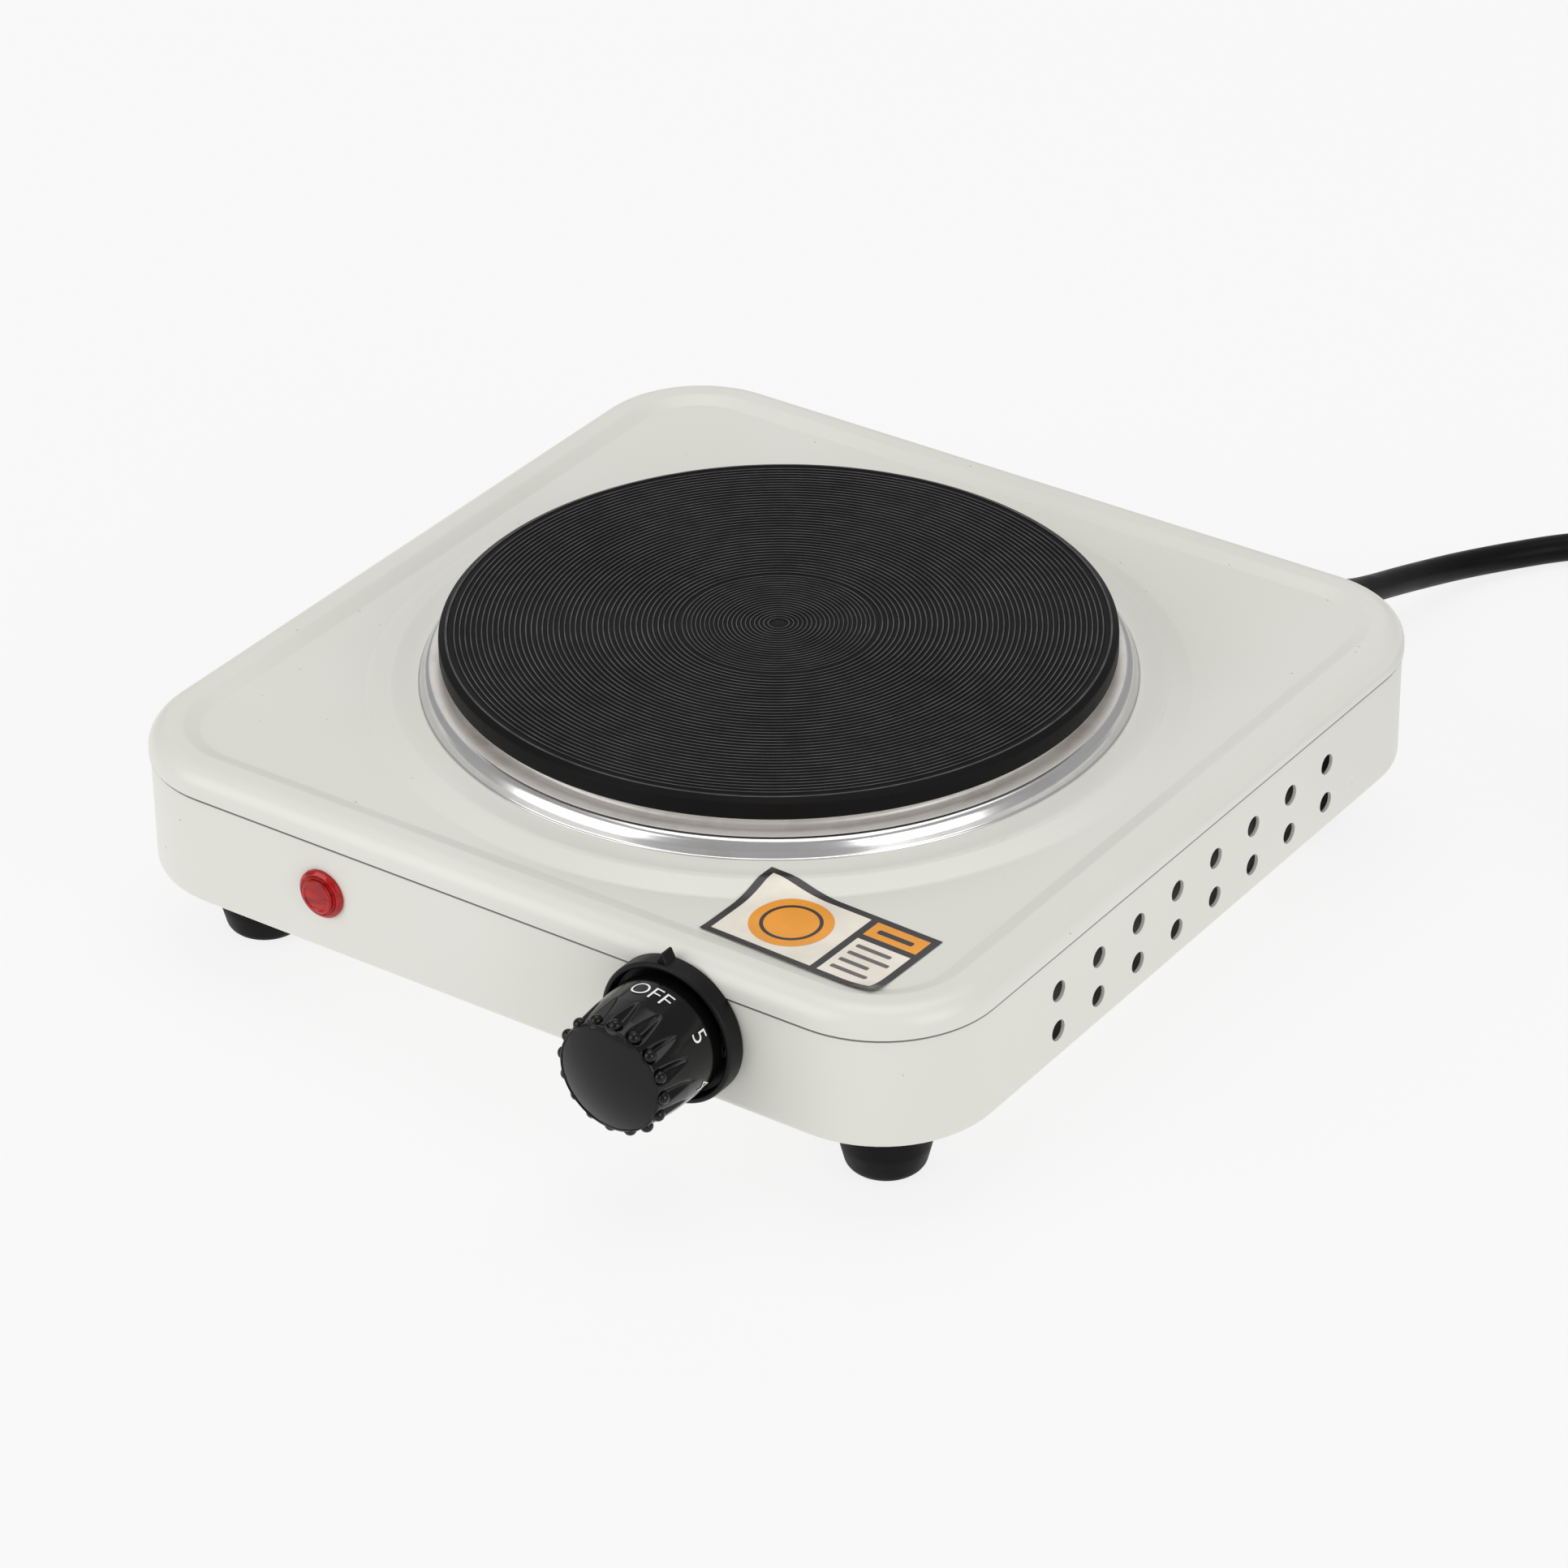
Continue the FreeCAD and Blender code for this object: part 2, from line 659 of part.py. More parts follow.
def underside_cover(ends):
    """Thin dished plate that closes the disc from below."""
    top = DISC_UNDER
    gauge = 0.5
    plate = turned("underside_blank", [(4.2, top - gauge), (70.5, top - gauge), (70.5, top), (4.2, top)],
                   DISC_AT)
    holes = [cylinder(f"underside_hole_{n}", 4.1, 6, moved(DISC_AT, end.x, end.y, top - 4))
             for n, end in enumerate(ends)]
    return node(cut("underside_shape", plate, group("underside_tools", holes)), "underside_cover")


def heat_shield(ends):
    """Dished reflector below the disc, clamped on the stud."""
    level = DISC_UNDER - 5.5
    gauge = 0.5
    profile = [
        (4.3, level), (66, level), (69, level + 4.5), (69.6, level + 4.5), (66.4, level - gauge),
        (4.3, level - gauge),
    ]
    plate = turned("shield_blank", profile, DISC_AT)
    holes = [cylinder(f"shield_hole_{n}", 5.0, 10, moved(DISC_AT, end.x, end.y, level - 5))
             for n, end in enumerate(ends)]
    return node(cut("shield_shape", plate, group("shield_tools", holes)), "heat_shield")


def clamp_parts():
    """Stud, bridge, washer and nut that pull the disc and the ring down on the cover."""
    shelf = BOSS_Z - S["sheet_gauge"]
    low = DISC_UNDER - 8.2
    gauge = 1.6
    width = 22.0
    outer = [
        (-86.5, shelf), (-79, shelf), (-66, low + gauge), (66, low + gauge), (79, shelf), (86.5, shelf),
        (86.5, shelf - gauge), (79.8, shelf - gauge), (66.8, low), (-66.8, low), (-79.8, shelf - gauge),
        (-86.5, shelf - gauge),
    ]
    body = new_body("bridge_blank")
    pad_feature(body, "bridge", outer, -width / 2, width / 2, "XZ_Plane")
    place(body, DISC_AT)
    bore = cylinder("bridge_bore", 4.4, 10, moved(DISC_AT, up=low - 4))
    node(cut("bridge_shape", body, bore), "clamp_bridge")
    foot = moved(DISC_AT, up=DISC_UNDER - 17.4)
    node(cylinder("stud_shape", S["stud_radius"] - TOUCH, 26, foot), "disc_stud")
    washer = [(4.3, low - 1.6), (8.5, low - 1.6), (8.5, low), (4.3, low)]
    node(turned("washer_shape", washer, DISC_AT), "stud_washer")
    nut = hexagon("nut_blank", 7.5, 6.5, moved(DISC_AT, up=low - 8.1))
    thread = cylinder("nut_bore", S["stud_radius"], 12, moved(DISC_AT, up=low - 10))
    node(cut("nut_shape", nut, thread), "stud_nut")


# ---- Dial and thermostat ----
# Front parts are turned about an axis that points out of the front wall, so a height in these
# outlines is a distance in front of the wall, and a negative one is inside the case.

def dial_bezel():
    """Black ring around the dial: a shallow cup with a pointer, stepped to clear the cover's skirt."""
    radius, depth = S["bezel_radius"], S["bezel_depth"]
    floor = 2.0
    profile = [
        (5.3, 0), (radius, 0), (radius, depth - 0.4), (radius - 0.4, depth), (radius - 1.3, depth),
        (radius - 1.4, floor), (5.3, floor),
    ]
    ring = turned("bezel_ring", profile, DIAL_AT, FRONT)
    pointer = new_body("bezel_pointer")
    tip = [(-3.0, radius - 0.6), (0.2, radius - 0.6), (-1.1, radius + 2.2), (-1.7, radius + 2.2)]
    pad_feature(pointer, "pointer", tip, 0, depth - 1.0)
    place(pointer, DIAL_AT, FRONT)
    holes = [cylinder(f"bezel_hole_{side + 1}", 2.1, 8,
                      moved(DIAL_AT, across=S["screw_offset"] * side, along=3), FRONT)
             for side in (-1, 1)]
    skirt_step = (S["case_half"] - S["tray_half"] + TOUCH) * 2
    step = block("bezel_step", 60, skirt_step, 20, (DIAL_AT[0], FRONT_WALL, SEAM_Z - S["seam_gap"]))
    whole = fused("bezel_blank", [ring, pointer])
    return node(cut("bezel_shape", whole, group("bezel_tools", holes + [step])), "dial_bezel")


def knob_shell():
    """The knob's plain form: skirt, hollow back, hub and domed cap."""
    radius, reach = S["knob_radius"], S["knob_reach"]
    back = 3.6
    bore = S["shaft_radius"] + TOUCH
    profile = [
        (bore, back + 1), (5.6, back + 1), (5.6, reach - 6), (11.2, reach - 6), (radius - 1.6, back),
        (radius, back), (radius + 0.1, back + 3), (radius - 0.2, reach - 12),
        (radius - 1.1, reach - 5), (12.2, reach - 3.3), (11.2, reach - 2.1), (9.0, reach - 1.2),
        (6.0, reach - 0.5), (3.0, reach - 0.1), (0, reach), (0, reach - 9), (bore, reach - 9),
    ]
    return turned("knob_blank", profile, DIAL_AT, FRONT)


def control_knob():
    """Knob with a ring of drop-shaped flutes, each with a small ball at its front end."""
    radius, reach = S["knob_radius"], S["knob_reach"]
    cutters, balls = [], []
    for number in range(FLUTES):
        angle = 2 * math.pi * (number + 0.5) / FLUTES
        across, up = math.sin(angle), math.cos(angle)
        far, near = radius + 0.5, radius - 1.0
        start = moved(DIAL_AT, far * across, -(reach - 12.5), far * up)
        cutters.append(cone(f"flute_{number}", 0.2, 2.0, 9.5, start, FRONT))
        spot = moved(DIAL_AT, near * across, -(reach - 4.6), near * up)
        ball = doc.addObject("Part::Sphere", f"ball_{number}")
        bind(ball, Radius=1.15)
        balls.append(place(ball, spot))
    fluted = cut("knob_fluted", knob_shell(), fused("flutes", cutters))
    rib = flat_in_bore("knob_rib", S["shaft_radius"] + 0.4, 2.1, -(reach - 8.8), 11)
    whole = fused("knob_shape", [fluted, rib] + balls)
    return node(whole, "control_knob")


def flat_in_bore(name, radius, above, start, length):
    """The slice of a round bar that lies above a flat, along the dial's axis."""
    bar = cylinder(name + "_bar", radius, length, moved(DIAL_AT, along=dim(start) + length), FRONT)
    flat = block(name + "_flat", 20, length, 20,
                 moved(DIAL_AT, along=dim(start) + length / 2, up=above))
    item = doc.addObject("Part::MultiCommon", name)
    item.Shapes = [bar, flat]
    return item


def shaft_and_clip():
    """Thermostat shaft with a flat under the knob and a bore for the pin, and the knob's clip."""
    radius = S["shaft_radius"]
    front, back = 18.0, -15.0
    bar = cylinder("shaft_bar", radius, front - back, moved(DIAL_AT, along=-back), FRONT)
    collar = cylinder("shaft_collar", 5.0, 2.0, moved(DIAL_AT, along=4.4), FRONT)
    flat = flat_in_bore("shaft_flat", radius + 1, 1.5, -front - 0.5, 12)
    bore = cylinder("shaft_bore", S["pin_radius"] + TOUCH, 9, moved(DIAL_AT, along=-back + 0.01), FRONT)
    blank = fused("shaft_blank", [bar, collar])
    node(cut("shaft_shape", blank, fused("shaft_tools", [flat, bore])), "thermostat_shaft")
    clip = block("clip_shape", 3.6, 9.5, 0.5, moved(DIAL_AT, along=-12.5, up=1.55))
    node(clip, "knob_clip")


def plate(name, low, high):
    """A flat piece between two corners given as (across, inward, up) from the dial's axis."""
    sizes = [high[n] - low[n] for n in range(3)]
    middle = moved(DIAL_AT, (low[0] + high[0]) / 2, (low[1] + high[1]) / 2, low[2])
    return block(name, sizes[0], sizes[1], sizes[2], middle)


STACK_X = -27.0
TAB_LEVELS = (26.5, 30.4)


def rivet_hole(name):
    return cylinder(name, 1.6, 30, moved(DIAL_AT, across=STACK_X, along=45), FRONT)


def pierced(name, item):
    return cut(name, item, rivet_hole(name + "_hole"))


def thermostat():
    """Steel frame, contact leaves in a riveted ceramic stack, bimetal strip and adjusting pin."""
    gauge = S["sheet_gauge"].number
    front = plate("frame_front", (-15, gauge, -9), (15, gauge + 1.2, 9))
    foot = plate("frame_foot", (-33, gauge, -9), (15, 22, -7.8))
    rear = plate("frame_rear", (-33, 20.8, -9), (10, 22, 5))
    bush = cylinder("frame_bush", 5.0, 3.4, moved(DIAL_AT, along=2.0), FRONT)
    bore = cylinder("frame_bore", S["shaft_radius"] + S["shaft_clearance"], 12,
                    moved(DIAL_AT, along=6), FRONT)
    window = plate("frame_window", (-1.8, 20, -1.8), (1.8, 23, 1.8))
    holes = [cylinder(f"frame_screw_hole_{side + 1}", 2.0, 8,
                      moved(DIAL_AT, across=S["screw_offset"] * side, along=5), FRONT)
             for side in (-1, 1)]
    blank = fused("frame_blank", [front, foot, rear, bush])
    tools = group("frame_tools", [bore, window, rivet_hole("frame_rivet_hole")] + holes)
    node(cut("frame_shape", blank, tools), "thermostat_frame")

    levels = [(22, 26.3), (26.7, 30.2), (30.6, 34.0), (35.0, 37.0)]
    washers = [pierced(f"stack_{n}", plate(f"stack_blank_{n}", (-32.5, low, -5), (-22.2, high, 5)))
               for n, (low, high) in enumerate(levels)]
    node(group("stack_group", washers), "thermostat_insulators")
    rivet = [cylinder("rivet_shank", 1.5, 16.8, moved(DIAL_AT, across=STACK_X, along=37.2), FRONT),
             cylinder("rivet_head", 2.8, 0.8, moved(DIAL_AT, across=STACK_X, along=37.8), FRONT),
             cylinder("rivet_tail", 2.8, 0.6, moved(DIAL_AT, across=STACK_X, along=20.8), FRONT)]
    node(fused("rivet_shape", rivet), "stack_rivet")

    node(pierced("leaf_terminal_shape", plate("leaf_terminal_blank", (-42, 26.3, -4), (-22.2, 26.7, 4))),
         "leaf_terminal")
    leaf = plate("moving_leaf", (-21.9, 26.3, -3.5), (9, 26.7, 3.5))
    button = cylinder("moving_button", 2.0, 1.2, moved(DIAL_AT, across=6.5, along=27.9), FRONT)
    node(fused("moving_leaf_shape", [leaf, button]), "moving_contact_leaf")
    fixed = pierced("fixed_leaf", plate("fixed_leaf_blank", (-42, 30.2, -4), (9, 30.6, 4)))
    fixed_button = cylinder("fixed_button", 2.0, 1.1, moved(DIAL_AT, across=6.5, along=30.2), FRONT)
    pin_hole = cylinder("fixed_leaf_hole", 1.7, 6, moved(DIAL_AT, across=1, along=33), FRONT)
    node(cut("fixed_leaf_shape", fused("fixed_leaf_solid", [fixed, fixed_button]), pin_hole),
         "fixed_contact_leaf")
    node(pierced("carrier_plate", plate("carrier_plate_blank", (-32.5, 34.0, -4), (-22.2, 35.0, 4))),
         "bimetal_carrier")
    node(plate("bimetal_shape", (-21.9, 34.0, -3.5), (8, 35.0, 3.5)), "bimetal_strip")
    push_pin = cylinder("push_pin_shape", 1.2, 5.4, moved(DIAL_AT, across=1, along=34.0), FRONT)
    node(push_pin, "bimetal_push_pin")

    pin = cylinder("pin_bar", S["pin_radius"], 12, moved(DIAL_AT, along=18.5), FRONT)
    tip = plate("pin_tip", (-1.55, 17.5, -1.55), (1.55, 26.0, 1.55))
    node(fused("pin_shape", [pin, tip]), "adjuster_pin")

    sleeves = []
    for number, inward in enumerate(TAB_LEVELS):
        sleeve = plate(f"sleeve_{number}", (-46, inward - 1.5, -4.8), (-36.5, inward + 1.5, 4.8))
        slot = plate(f"sleeve_slot_{number}", (-42.3, inward - 0.4, -4.3), (-36, inward + 0.4, 4.3))
        sleeves.append(cut(f"sleeve_shape_{number}", sleeve, slot))
    node(group("sleeve_group", sleeves), "push_on_terminals")

    screws = []
    for side in (-1, 1):
        at = moved(DIAL_AT, across=S["screw_offset"] * side)
        head = cylinder(f"dial_screw_head_{side + 1}", 3.5, 0.9, moved(at, along=-2.0), FRONT)
        shank = cylinder(f"dial_screw_shank_{side + 1}", 1.95, 7.5, moved(at, along=5.3), FRONT)
        screws.append(fused(f"dial_screw_{side + 1}", [head, shank]))
    node(group("dial_screw_group", screws), "thermostat_screws")


# ---- Pilot lamp ----

def pilot_lamp():
    """Red lens in the front wall, its nut, the holder behind it and the neon bulb inside."""
    radius = S["lens_radius"]
    lens = [
        (4.0, -9), (4.9, -9), (4.9, 0), (radius, 0), (radius, 0.7), (radius - 0.7, 1.4),
        (4.6, 1.3), (4.1, 1.3), (4.1, 2.1), (3.6, 2.5), (0, 2.5), (0, 1.2), (4.0, 1.2),
    ]
    node(turned("lens_shape", lens, LAMP_AT, FRONT), "pilot_lens")
    gauge = S["sheet_gauge"]
    nut = [(4.95, -gauge - 1.6), (8.2, -gauge - 1.6), (8.2, -gauge), (4.95, -gauge)]
    node(turned("lamp_nut_shape", nut, LAMP_AT, FRONT), "lamp_nut")
    holder = [(3.3, -22), (3.3, -9), (6.0, -9), (6.0, -24), (0, -24), (0, -22)]
    node(turned("lamp_holder_shape", holder, LAMP_AT, FRONT), "lamp_holder")
    bulb = [(0, -20), (2.6, -20), (2.9, -19), (2.9, -4), (2.0, -1.8), (0, -0.8)]
    node(turned("bulb_shape", bulb, LAMP_AT, FRONT), "neon_bulb")


# ---- Mains connection ----

def bent_wire(points):
    """Straight runs joined by tangent arcs, each as large as its two shorter runs allow."""
    spots = [Vector(*point) for point in points]
    edges, radii, last = [], [], spots[0]
    for before, corner, after in zip(spots, spots[1:], spots[2:]):
        back, ahead = (before - corner), (after - corner)
        shorter = min(back.Length, ahead.Length)
        back.normalize()
        ahead.normalize()
        turn = math.pi - back.getAngle(ahead)
        reach = 0.45 * shorter
        radius = reach / math.tan(turn / 2)
        start, end = corner + back * reach, corner + ahead * reach
        inward = back + ahead
        inward.normalize()
        middle = corner + inward * (radius / math.cos(turn / 2) - radius)
        edges.append(Part.LineSegment(last, start).toShape())
        edges.append(Part.Arc(start, middle, end).toShape())
        radii.append(radius)
        last = end
    edges.append(Part.LineSegment(last, spots[-1]).toShape())
    return Part.Wire(edges), radii


def lead(label, points, radius=LEAD_RADIUS):
    """An insulated lead along its route."""
    wire, radii = bent_wire(points)
    shape = pipe(wire, radius)
    expected = math.pi * radius ** 2 * wire.Length
    print(f"{label}: length {wire.Length:.1f}, volume / expected {shape.Volume / expected:.4f},"
          f" radii {[round(r, 1) for r in radii]}")
    return node(solid_feature(label + "_shape", shape), label)


CLAMP_INWARD = 11.0
CORD_INNER = 20.0
BLOCK_INWARD = 40.0
BLOCK_DEPTH = 15.8
BLOCK_HEIGHT = 14.0
WAY_PITCH = 11.0
WAYS = (-1, 0, 1)


def strain_relief():
    """Tapered rubber sleeve that is held in the back wall by a groove."""
    length = S["relief_length"]
    bore = S["cord_radius"] + TOUCH
    sleeve = [
        (bore, -3.6), (7.0, -3.6), (7.0, -0.8), (5.9, -0.8), (5.9, 0), (7.4, 0), (7.4, 2.4), (6.4, 3.2),
        (6.2, 6), (4.5, length), (bore, length),
    ]
    node(turned("relief_shape", sleeve, CORD_AT, BACK), "strain_relief")
    node(cylinder("cord_inner_shape", S["cord_radius"], length + CORD_INNER,
                  moved(CORD_AT, along=-CORD_INNER), BACK), "cord_inner_end")


def cord_anchorage():
    """Clamp that holds the cord's sheath on the tray, with its two screws."""
    clamp = moved(CORD_AT, along=-CLAMP_INWARD)
    top = CORD_AT[2] + 5.5
    saddle = block("clamp_blank", 26, 8, top - FLOOR_Z, (clamp[0], clamp[1], FLOOR_Z))
    tunnel = cylinder("clamp_tunnel", S["cord_radius"] + TOUCH, 20, moved(clamp, along=-10), BACK)
    holes, screws = [], []
    for side in (-1, 1):
        at = (clamp[0] + 9.0 * side, clamp[1], top)
        holes.append(cylinder(f"clamp_hole_{side + 1}", 1.6, 11, moved(at, up=-10.8)))
        head = cylinder(f"clamp_screw_head_{side + 1}", 2.8, 1.8, at)
        shank = cylinder(f"clamp_screw_shank_{side + 1}", 1.5, 10, moved(at, up=-10))
        screws.append(fused(f"clamp_screw_{side + 1}", [head, shank]))
    node(cut("clamp_shape", saddle, group("clamp_tools", [tunnel] + holes)), "cord_clamp")
    node(group("clamp_screw_group", screws), "clamp_screws")


def terminal_block():
    """Three-way ceramic block with a clamping screw over each way."""
    body = moved(CORD_AT, along=-BLOCK_INWARD)
    terminal = block("terminal_blank", 36, BLOCK_DEPTH, BLOCK_HEIGHT, (body[0], body[1], FLOOR_Z))
    ports, caps = [], []
    for way in WAYS:
        at = (body[0] + WAY_PITCH * way, body[1], FLOOR_Z + BLOCK_HEIGHT)
        ports.append(cylinder(f"terminal_port_{way + 1}", 2.4, 5, moved(at, up=-4)))
        slot = block(f"terminal_slot_{way + 1}", 4.0, 0.6, 1, moved(at, up=-1.6))
        cap = cylinder(f"terminal_cap_{way + 1}", 2.3, 3.0, moved(at, up=-4))
        caps.append(cut(f"terminal_screw_{way + 1}", cap, slot))
    node(cut("terminal_shape", terminal, group("terminal_tools", ports)), "terminal_block")
    node(group("terminal_screw_group", caps), "terminal_screws")


def inner_leads(ends):
    """Leads between the cord, the terminal block, the thermostat, the coil's ends and the lamp."""
    cord_x, wall_y, cord_z = (value.number for value in CORD_AT)
    block_front = wall_y - BLOCK_INWARD - BLOCK_DEPTH / 2
    block_back = wall_y - BLOCK_INWARD + BLOCK_DEPTH / 2
    way_z = FLOOR_Z.number + 8
    live_x, neutral_x, earth_x = (cord_x + WAY_PITCH * way for way in WAYS)
    dial_x, dial_y, dial_z = (value.number for value in DIAL_AT)
    tab_x = dial_x - 46
    input_y, output_y = (dial_y + inward for inward in TAB_LEVELS)
    (first_x, first_y), (last_x, last_y) = ((end.x, end.y + DISC_Y.number) for end in ends)
    stem_end = (DISC_UNDER - 9).number

    cores = []
    for way in WAYS:
        start, finish = cord_x + 2.0 * way, cord_x + WAY_PITCH * way
        height = cord_z + (1.2 if way == 0 else -1.0)
        wire, _ = bent_wire([
            (start, wall_y - CORD_INNER, height), (start, wall_y - CORD_INNER - 3.2, height),
            (finish, block_back + 3.6, way_z), (finish, block_back, way_z)])
        cores.append(solid_feature(f"core_{way + 1}", pipe(wire, 1.0)))
    node(group("core_group", cores), "cord_cores")

    lead("live_lead", [
        (live_x, block_front, way_z), (live_x, block_front - 9, way_z), (42, 56, 27.2), (28, 40, 26.4),
        (10, 21, 26), (-7, -6, 26), (-15, -34, 26.5), (-17, -54, 28), (-13, -66, 31.5),
        (-5, input_y, dial_z), (tab_x, input_y, dial_z)])
    lead("heater_lead", [
        (tab_x, output_y, dial_z + 2), (tab_x - 6, output_y, dial_z + 2), (-7.5, -61, 38),
        (-7, -53, 37), (-2.5, last_y - 3, 36.2), (last_x, last_y, 38.6), (last_x, last_y, stem_end)])
    lead("neutral_lead", [
        (neutral_x, block_front, way_z), (neutral_x, block_front - 9, way_z), (52, 57, 31),
        (37, 49.5, 33), (21, 45, 34.5), (first_x + 5, first_y + 0.6, 36), (first_x, first_y, 39.4),
        (first_x, first_y, stem_end)])
    earth_z = FLOOR_Z.number + 2.4
    screw_x, screw_y = 78.0, 38.0
    lead("earth_lead", [
        (earth_x, block_front, way_z), (earth_x, block_front - 9, way_z), (earth_x + 4, 58, 26),
        (screw_x, 48, earth_z), (screw_x + 0.3, screw_y + 2, earth_z)])
    washer = cylinder("earth_washer", 5.0, 0.8, (dim(screw_x), dim(screw_y), FLOOR_Z))
    head = cylinder("earth_head", 3.6, 2.6, (dim(screw_x), dim(screw_y), FLOOR_Z + 3.6))
    shank = cylinder("earth_shank", 1.7, 4.0, (dim(screw_x), dim(screw_y), FLOOR_Z))
    node(fused("earth_screw_shape", [washer, head, shank]), "earth_screw")

    lamp_x, lamp_y, lamp_z = (value.number for value in LAMP_AT)
    holder_y = lamp_y + 24
    lamp_live = [
        (lamp_x + 2.5, holder_y, lamp_z), (lamp_x + 2.5, holder_y + 8, lamp_z), (-38, -57, 34.5),
        (-26, -54, 35), (-14, -59, 36), (-6, output_y, dial_z - 1.6), (tab_x, output_y, dial_z - 1.6)]
    lamp_neutral = [
        (lamp_x - 2.5, holder_y, lamp_z), (lamp_x - 2.5, holder_y + 9, lamp_z), (-53, -47, 30),
        (-50, -22, 26.5), (-40, 8, 25.5), (-20, 38, 25.5), (8, 56, 27), (34, 63, 31), (50, 61.5, 35),
        (neutral_x - 2, 64.5, 34.5), (neutral_x, block_front - 5, way_z + 3),
        (neutral_x, block_front, way_z + 3)]
    pair = [solid_feature(f"lamp_lead_{number}", pipe(bent_wire(route)[0], 0.9))
            for number, route in enumerate((lamp_live, lamp_neutral))]
    node(group("lamp_lead_group", pair), "lamp_leads")


def power_cord():
    """The free cord: from the strain relief down to the floor, round to the coil and to the plug."""
    exit_x, exit_y, exit_z = (value.number for value in CORD_AT)
    start_y = exit_y + S["relief_length"].number
    floor = S["cord_radius"].number
    points = [
        (exit_x, start_y, exit_z), (60, 148, exit_z), (60, 159, 24.2), (60, 170.5, 18.9),
        (60.1, 181.3, 15.3), (60.3, 192.8, 11.9), (61.2, 205.8, 8.2), (64.2, 219.2, 5.4), (70.4, 232.6, 3.7),
        (80, 245.4, floor), (92.5, 256.3, floor), (108, 263.6, floor), (125, 267, floor),
        (137.5, 267.3, floor),
    ]
    lead("power_cord", points, floor)
    radius, turn = S["cord_radius"], S["coil_turn_radius"]
    inner, outer = turn - radius * 2, turn + radius * 2
    upper_turn_z = radius * (1 + math.sqrt(3))
    coil_top = upper_turn_z + radius
    coil = [(inner, 0), (outer, 0), (outer, radius * 2), (turn + radius, coil_top),
            (turn - radius, coil_top), (inner, radius * 2)]
    coil_at = (S["coil_x"], S["coil_y"], dim(0))
    node(turned("cord_coil_shape", coil, coil_at), "power_cord_coil")
    tail_start, tail_length = 24.0, 18.0
    tail = moved(coil_at, across=turn, along=-tail_start, up=upper_turn_z)
    node(cylinder("cord_tail_shape", radius, tail_length, tail, FRONT), "power_cord_tail")
    return moved(tail, along=-tail_length)


def plug(entry):
    """Three-pin plug lying on its back, with its cord entry, pins and fuse carrier."""
    thick = S["plug_thickness"]
    half = S["plug_side"] / 2
    boot = 22.0
    middle = (entry[0], entry[1] - boot - half, dim(0))
    body = new_body("plug_block")
    shape = [
        (-half, -7), (-half, half), (half, half), (half, -7), (half - 11, -half), (-half + 11, -half),
    ]
    blank = pad_feature(body, "plug", shape, 0, thick)
    sides = round_edges(body, blank, 6.0, is_upright)
    round_edges(body, sides, 2.5, is_at(thick))
    place(body, middle)
    bore = cylinder("boot_bore", S["cord_radius"] + TOUCH, boot - 4, entry, FRONT)
    cone_item = cone("boot_cone", 7.0, 4.6, boot + 4, (entry[0], entry[1] - boot - 4, entry[2]), BACK)
    flange = cylinder("boot_flange", 7.4, 3, (entry[0], entry[1] - boot, entry[2]), BACK)
    pocket = block("carrier_pocket", 27.0, 7.4, 4, moved(middle, along=5.8, up=thick - 3))
    blank = fused("plug_blank", [body, cone_item, flange])
    node(cut("plug_shape", blank, group("plug_tools", [bore, pocket])), "plug_body")
    node(block("carrier_shape", 26.6, 7.0, 3.2, moved(middle, along=5.8, up=thick - 2.95)),
         "plug_fuse_carrier")
    tip = 17.7
    earth_tip = 22.73
    pins = [
        block("pin_live", 6.35, 3.97, tip, moved(middle, across=11.1, along=11.9, up=thick)),
        block("pin_neutral", 6.35, 3.97, tip, moved(middle, across=-11.1, along=11.9, up=thick)),
        block("pin_earth", 3.97, 7.92, earth_tip, moved(middle, along=11.9 - 22.23, up=thick)),
    ]
    node(group("plug_pin_group", pins), "plug_pins")


def safety_label(cover):
    """A thin blank label that follows the panel and the foot of the boss."""
    doc.recompute()
    gauge = 0.15
    middle_x, middle_y = 69.5, DISC_Y.number - 84.5
    width, depth = 45.5, 26.0
    prism = Part.makeBox(width, depth, 20, Vector(-width / 2, -depth / 2, 0))
    prism.Placement = Placement(Vector(middle_x, middle_y, PANEL_Z.number - 2), Rotation(Vector(0, 0, 1), -2))
    raised = cover.Shape.copy()
    raised.translate(Vector(0, 0, gauge))
    skin = raised.common(prism).cut(cover.Shape)
    whole = max(skin.Solids, key=lambda solid: solid.BoundBox.ZMax)
    return node(solid_feature("label_shape", whole), "front_label")


def check_and_write():
    """Stop if anything in the document failed, then write one file for each sub-part."""
    doc.recompute()
    for item in doc.Objects:
        bad = [state for state in item.State if state in ("Invalid", "Error")]
        if bad:
            raise RuntimeError(f"{item.Name} ({item.Label}) failed: {bad}")
    for item in nodes:
        shape = item.Shape
        if shape.isNull() or not shape.isValid() or not shape.Solids:
            raise RuntimeError(f"{item.Label} has no valid solid")
    for item in nodes:
        item.Shape.exportStep(os.path.join("parts", item.Label + ".step"))
        print(f"{item.Label}: {len(item.Shape.Solids)} solid(s), {item.Shape.Volume:.1f} mm3")
    print(f"{len(nodes)} nodes")


cover = top_cover()
base_tray()
feet_and_fixings()
heating_disc()
trim_ring()
coil_ends = coil_and_bed()
underside_cover(coil_ends)
heat_shield(coil_ends)
clamp_parts()
dial_bezel()
control_knob()
shaft_and_clip()
thermostat()
pilot_lamp()
strain_relief()
cord_anchorage()
terminal_block()
inner_leads(coil_ends)
plug(power_cord())
safety_label(cover)
check_and_write()
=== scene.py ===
import json
import math

import bmesh
import bpy
from mathutils import Matrix, Vector


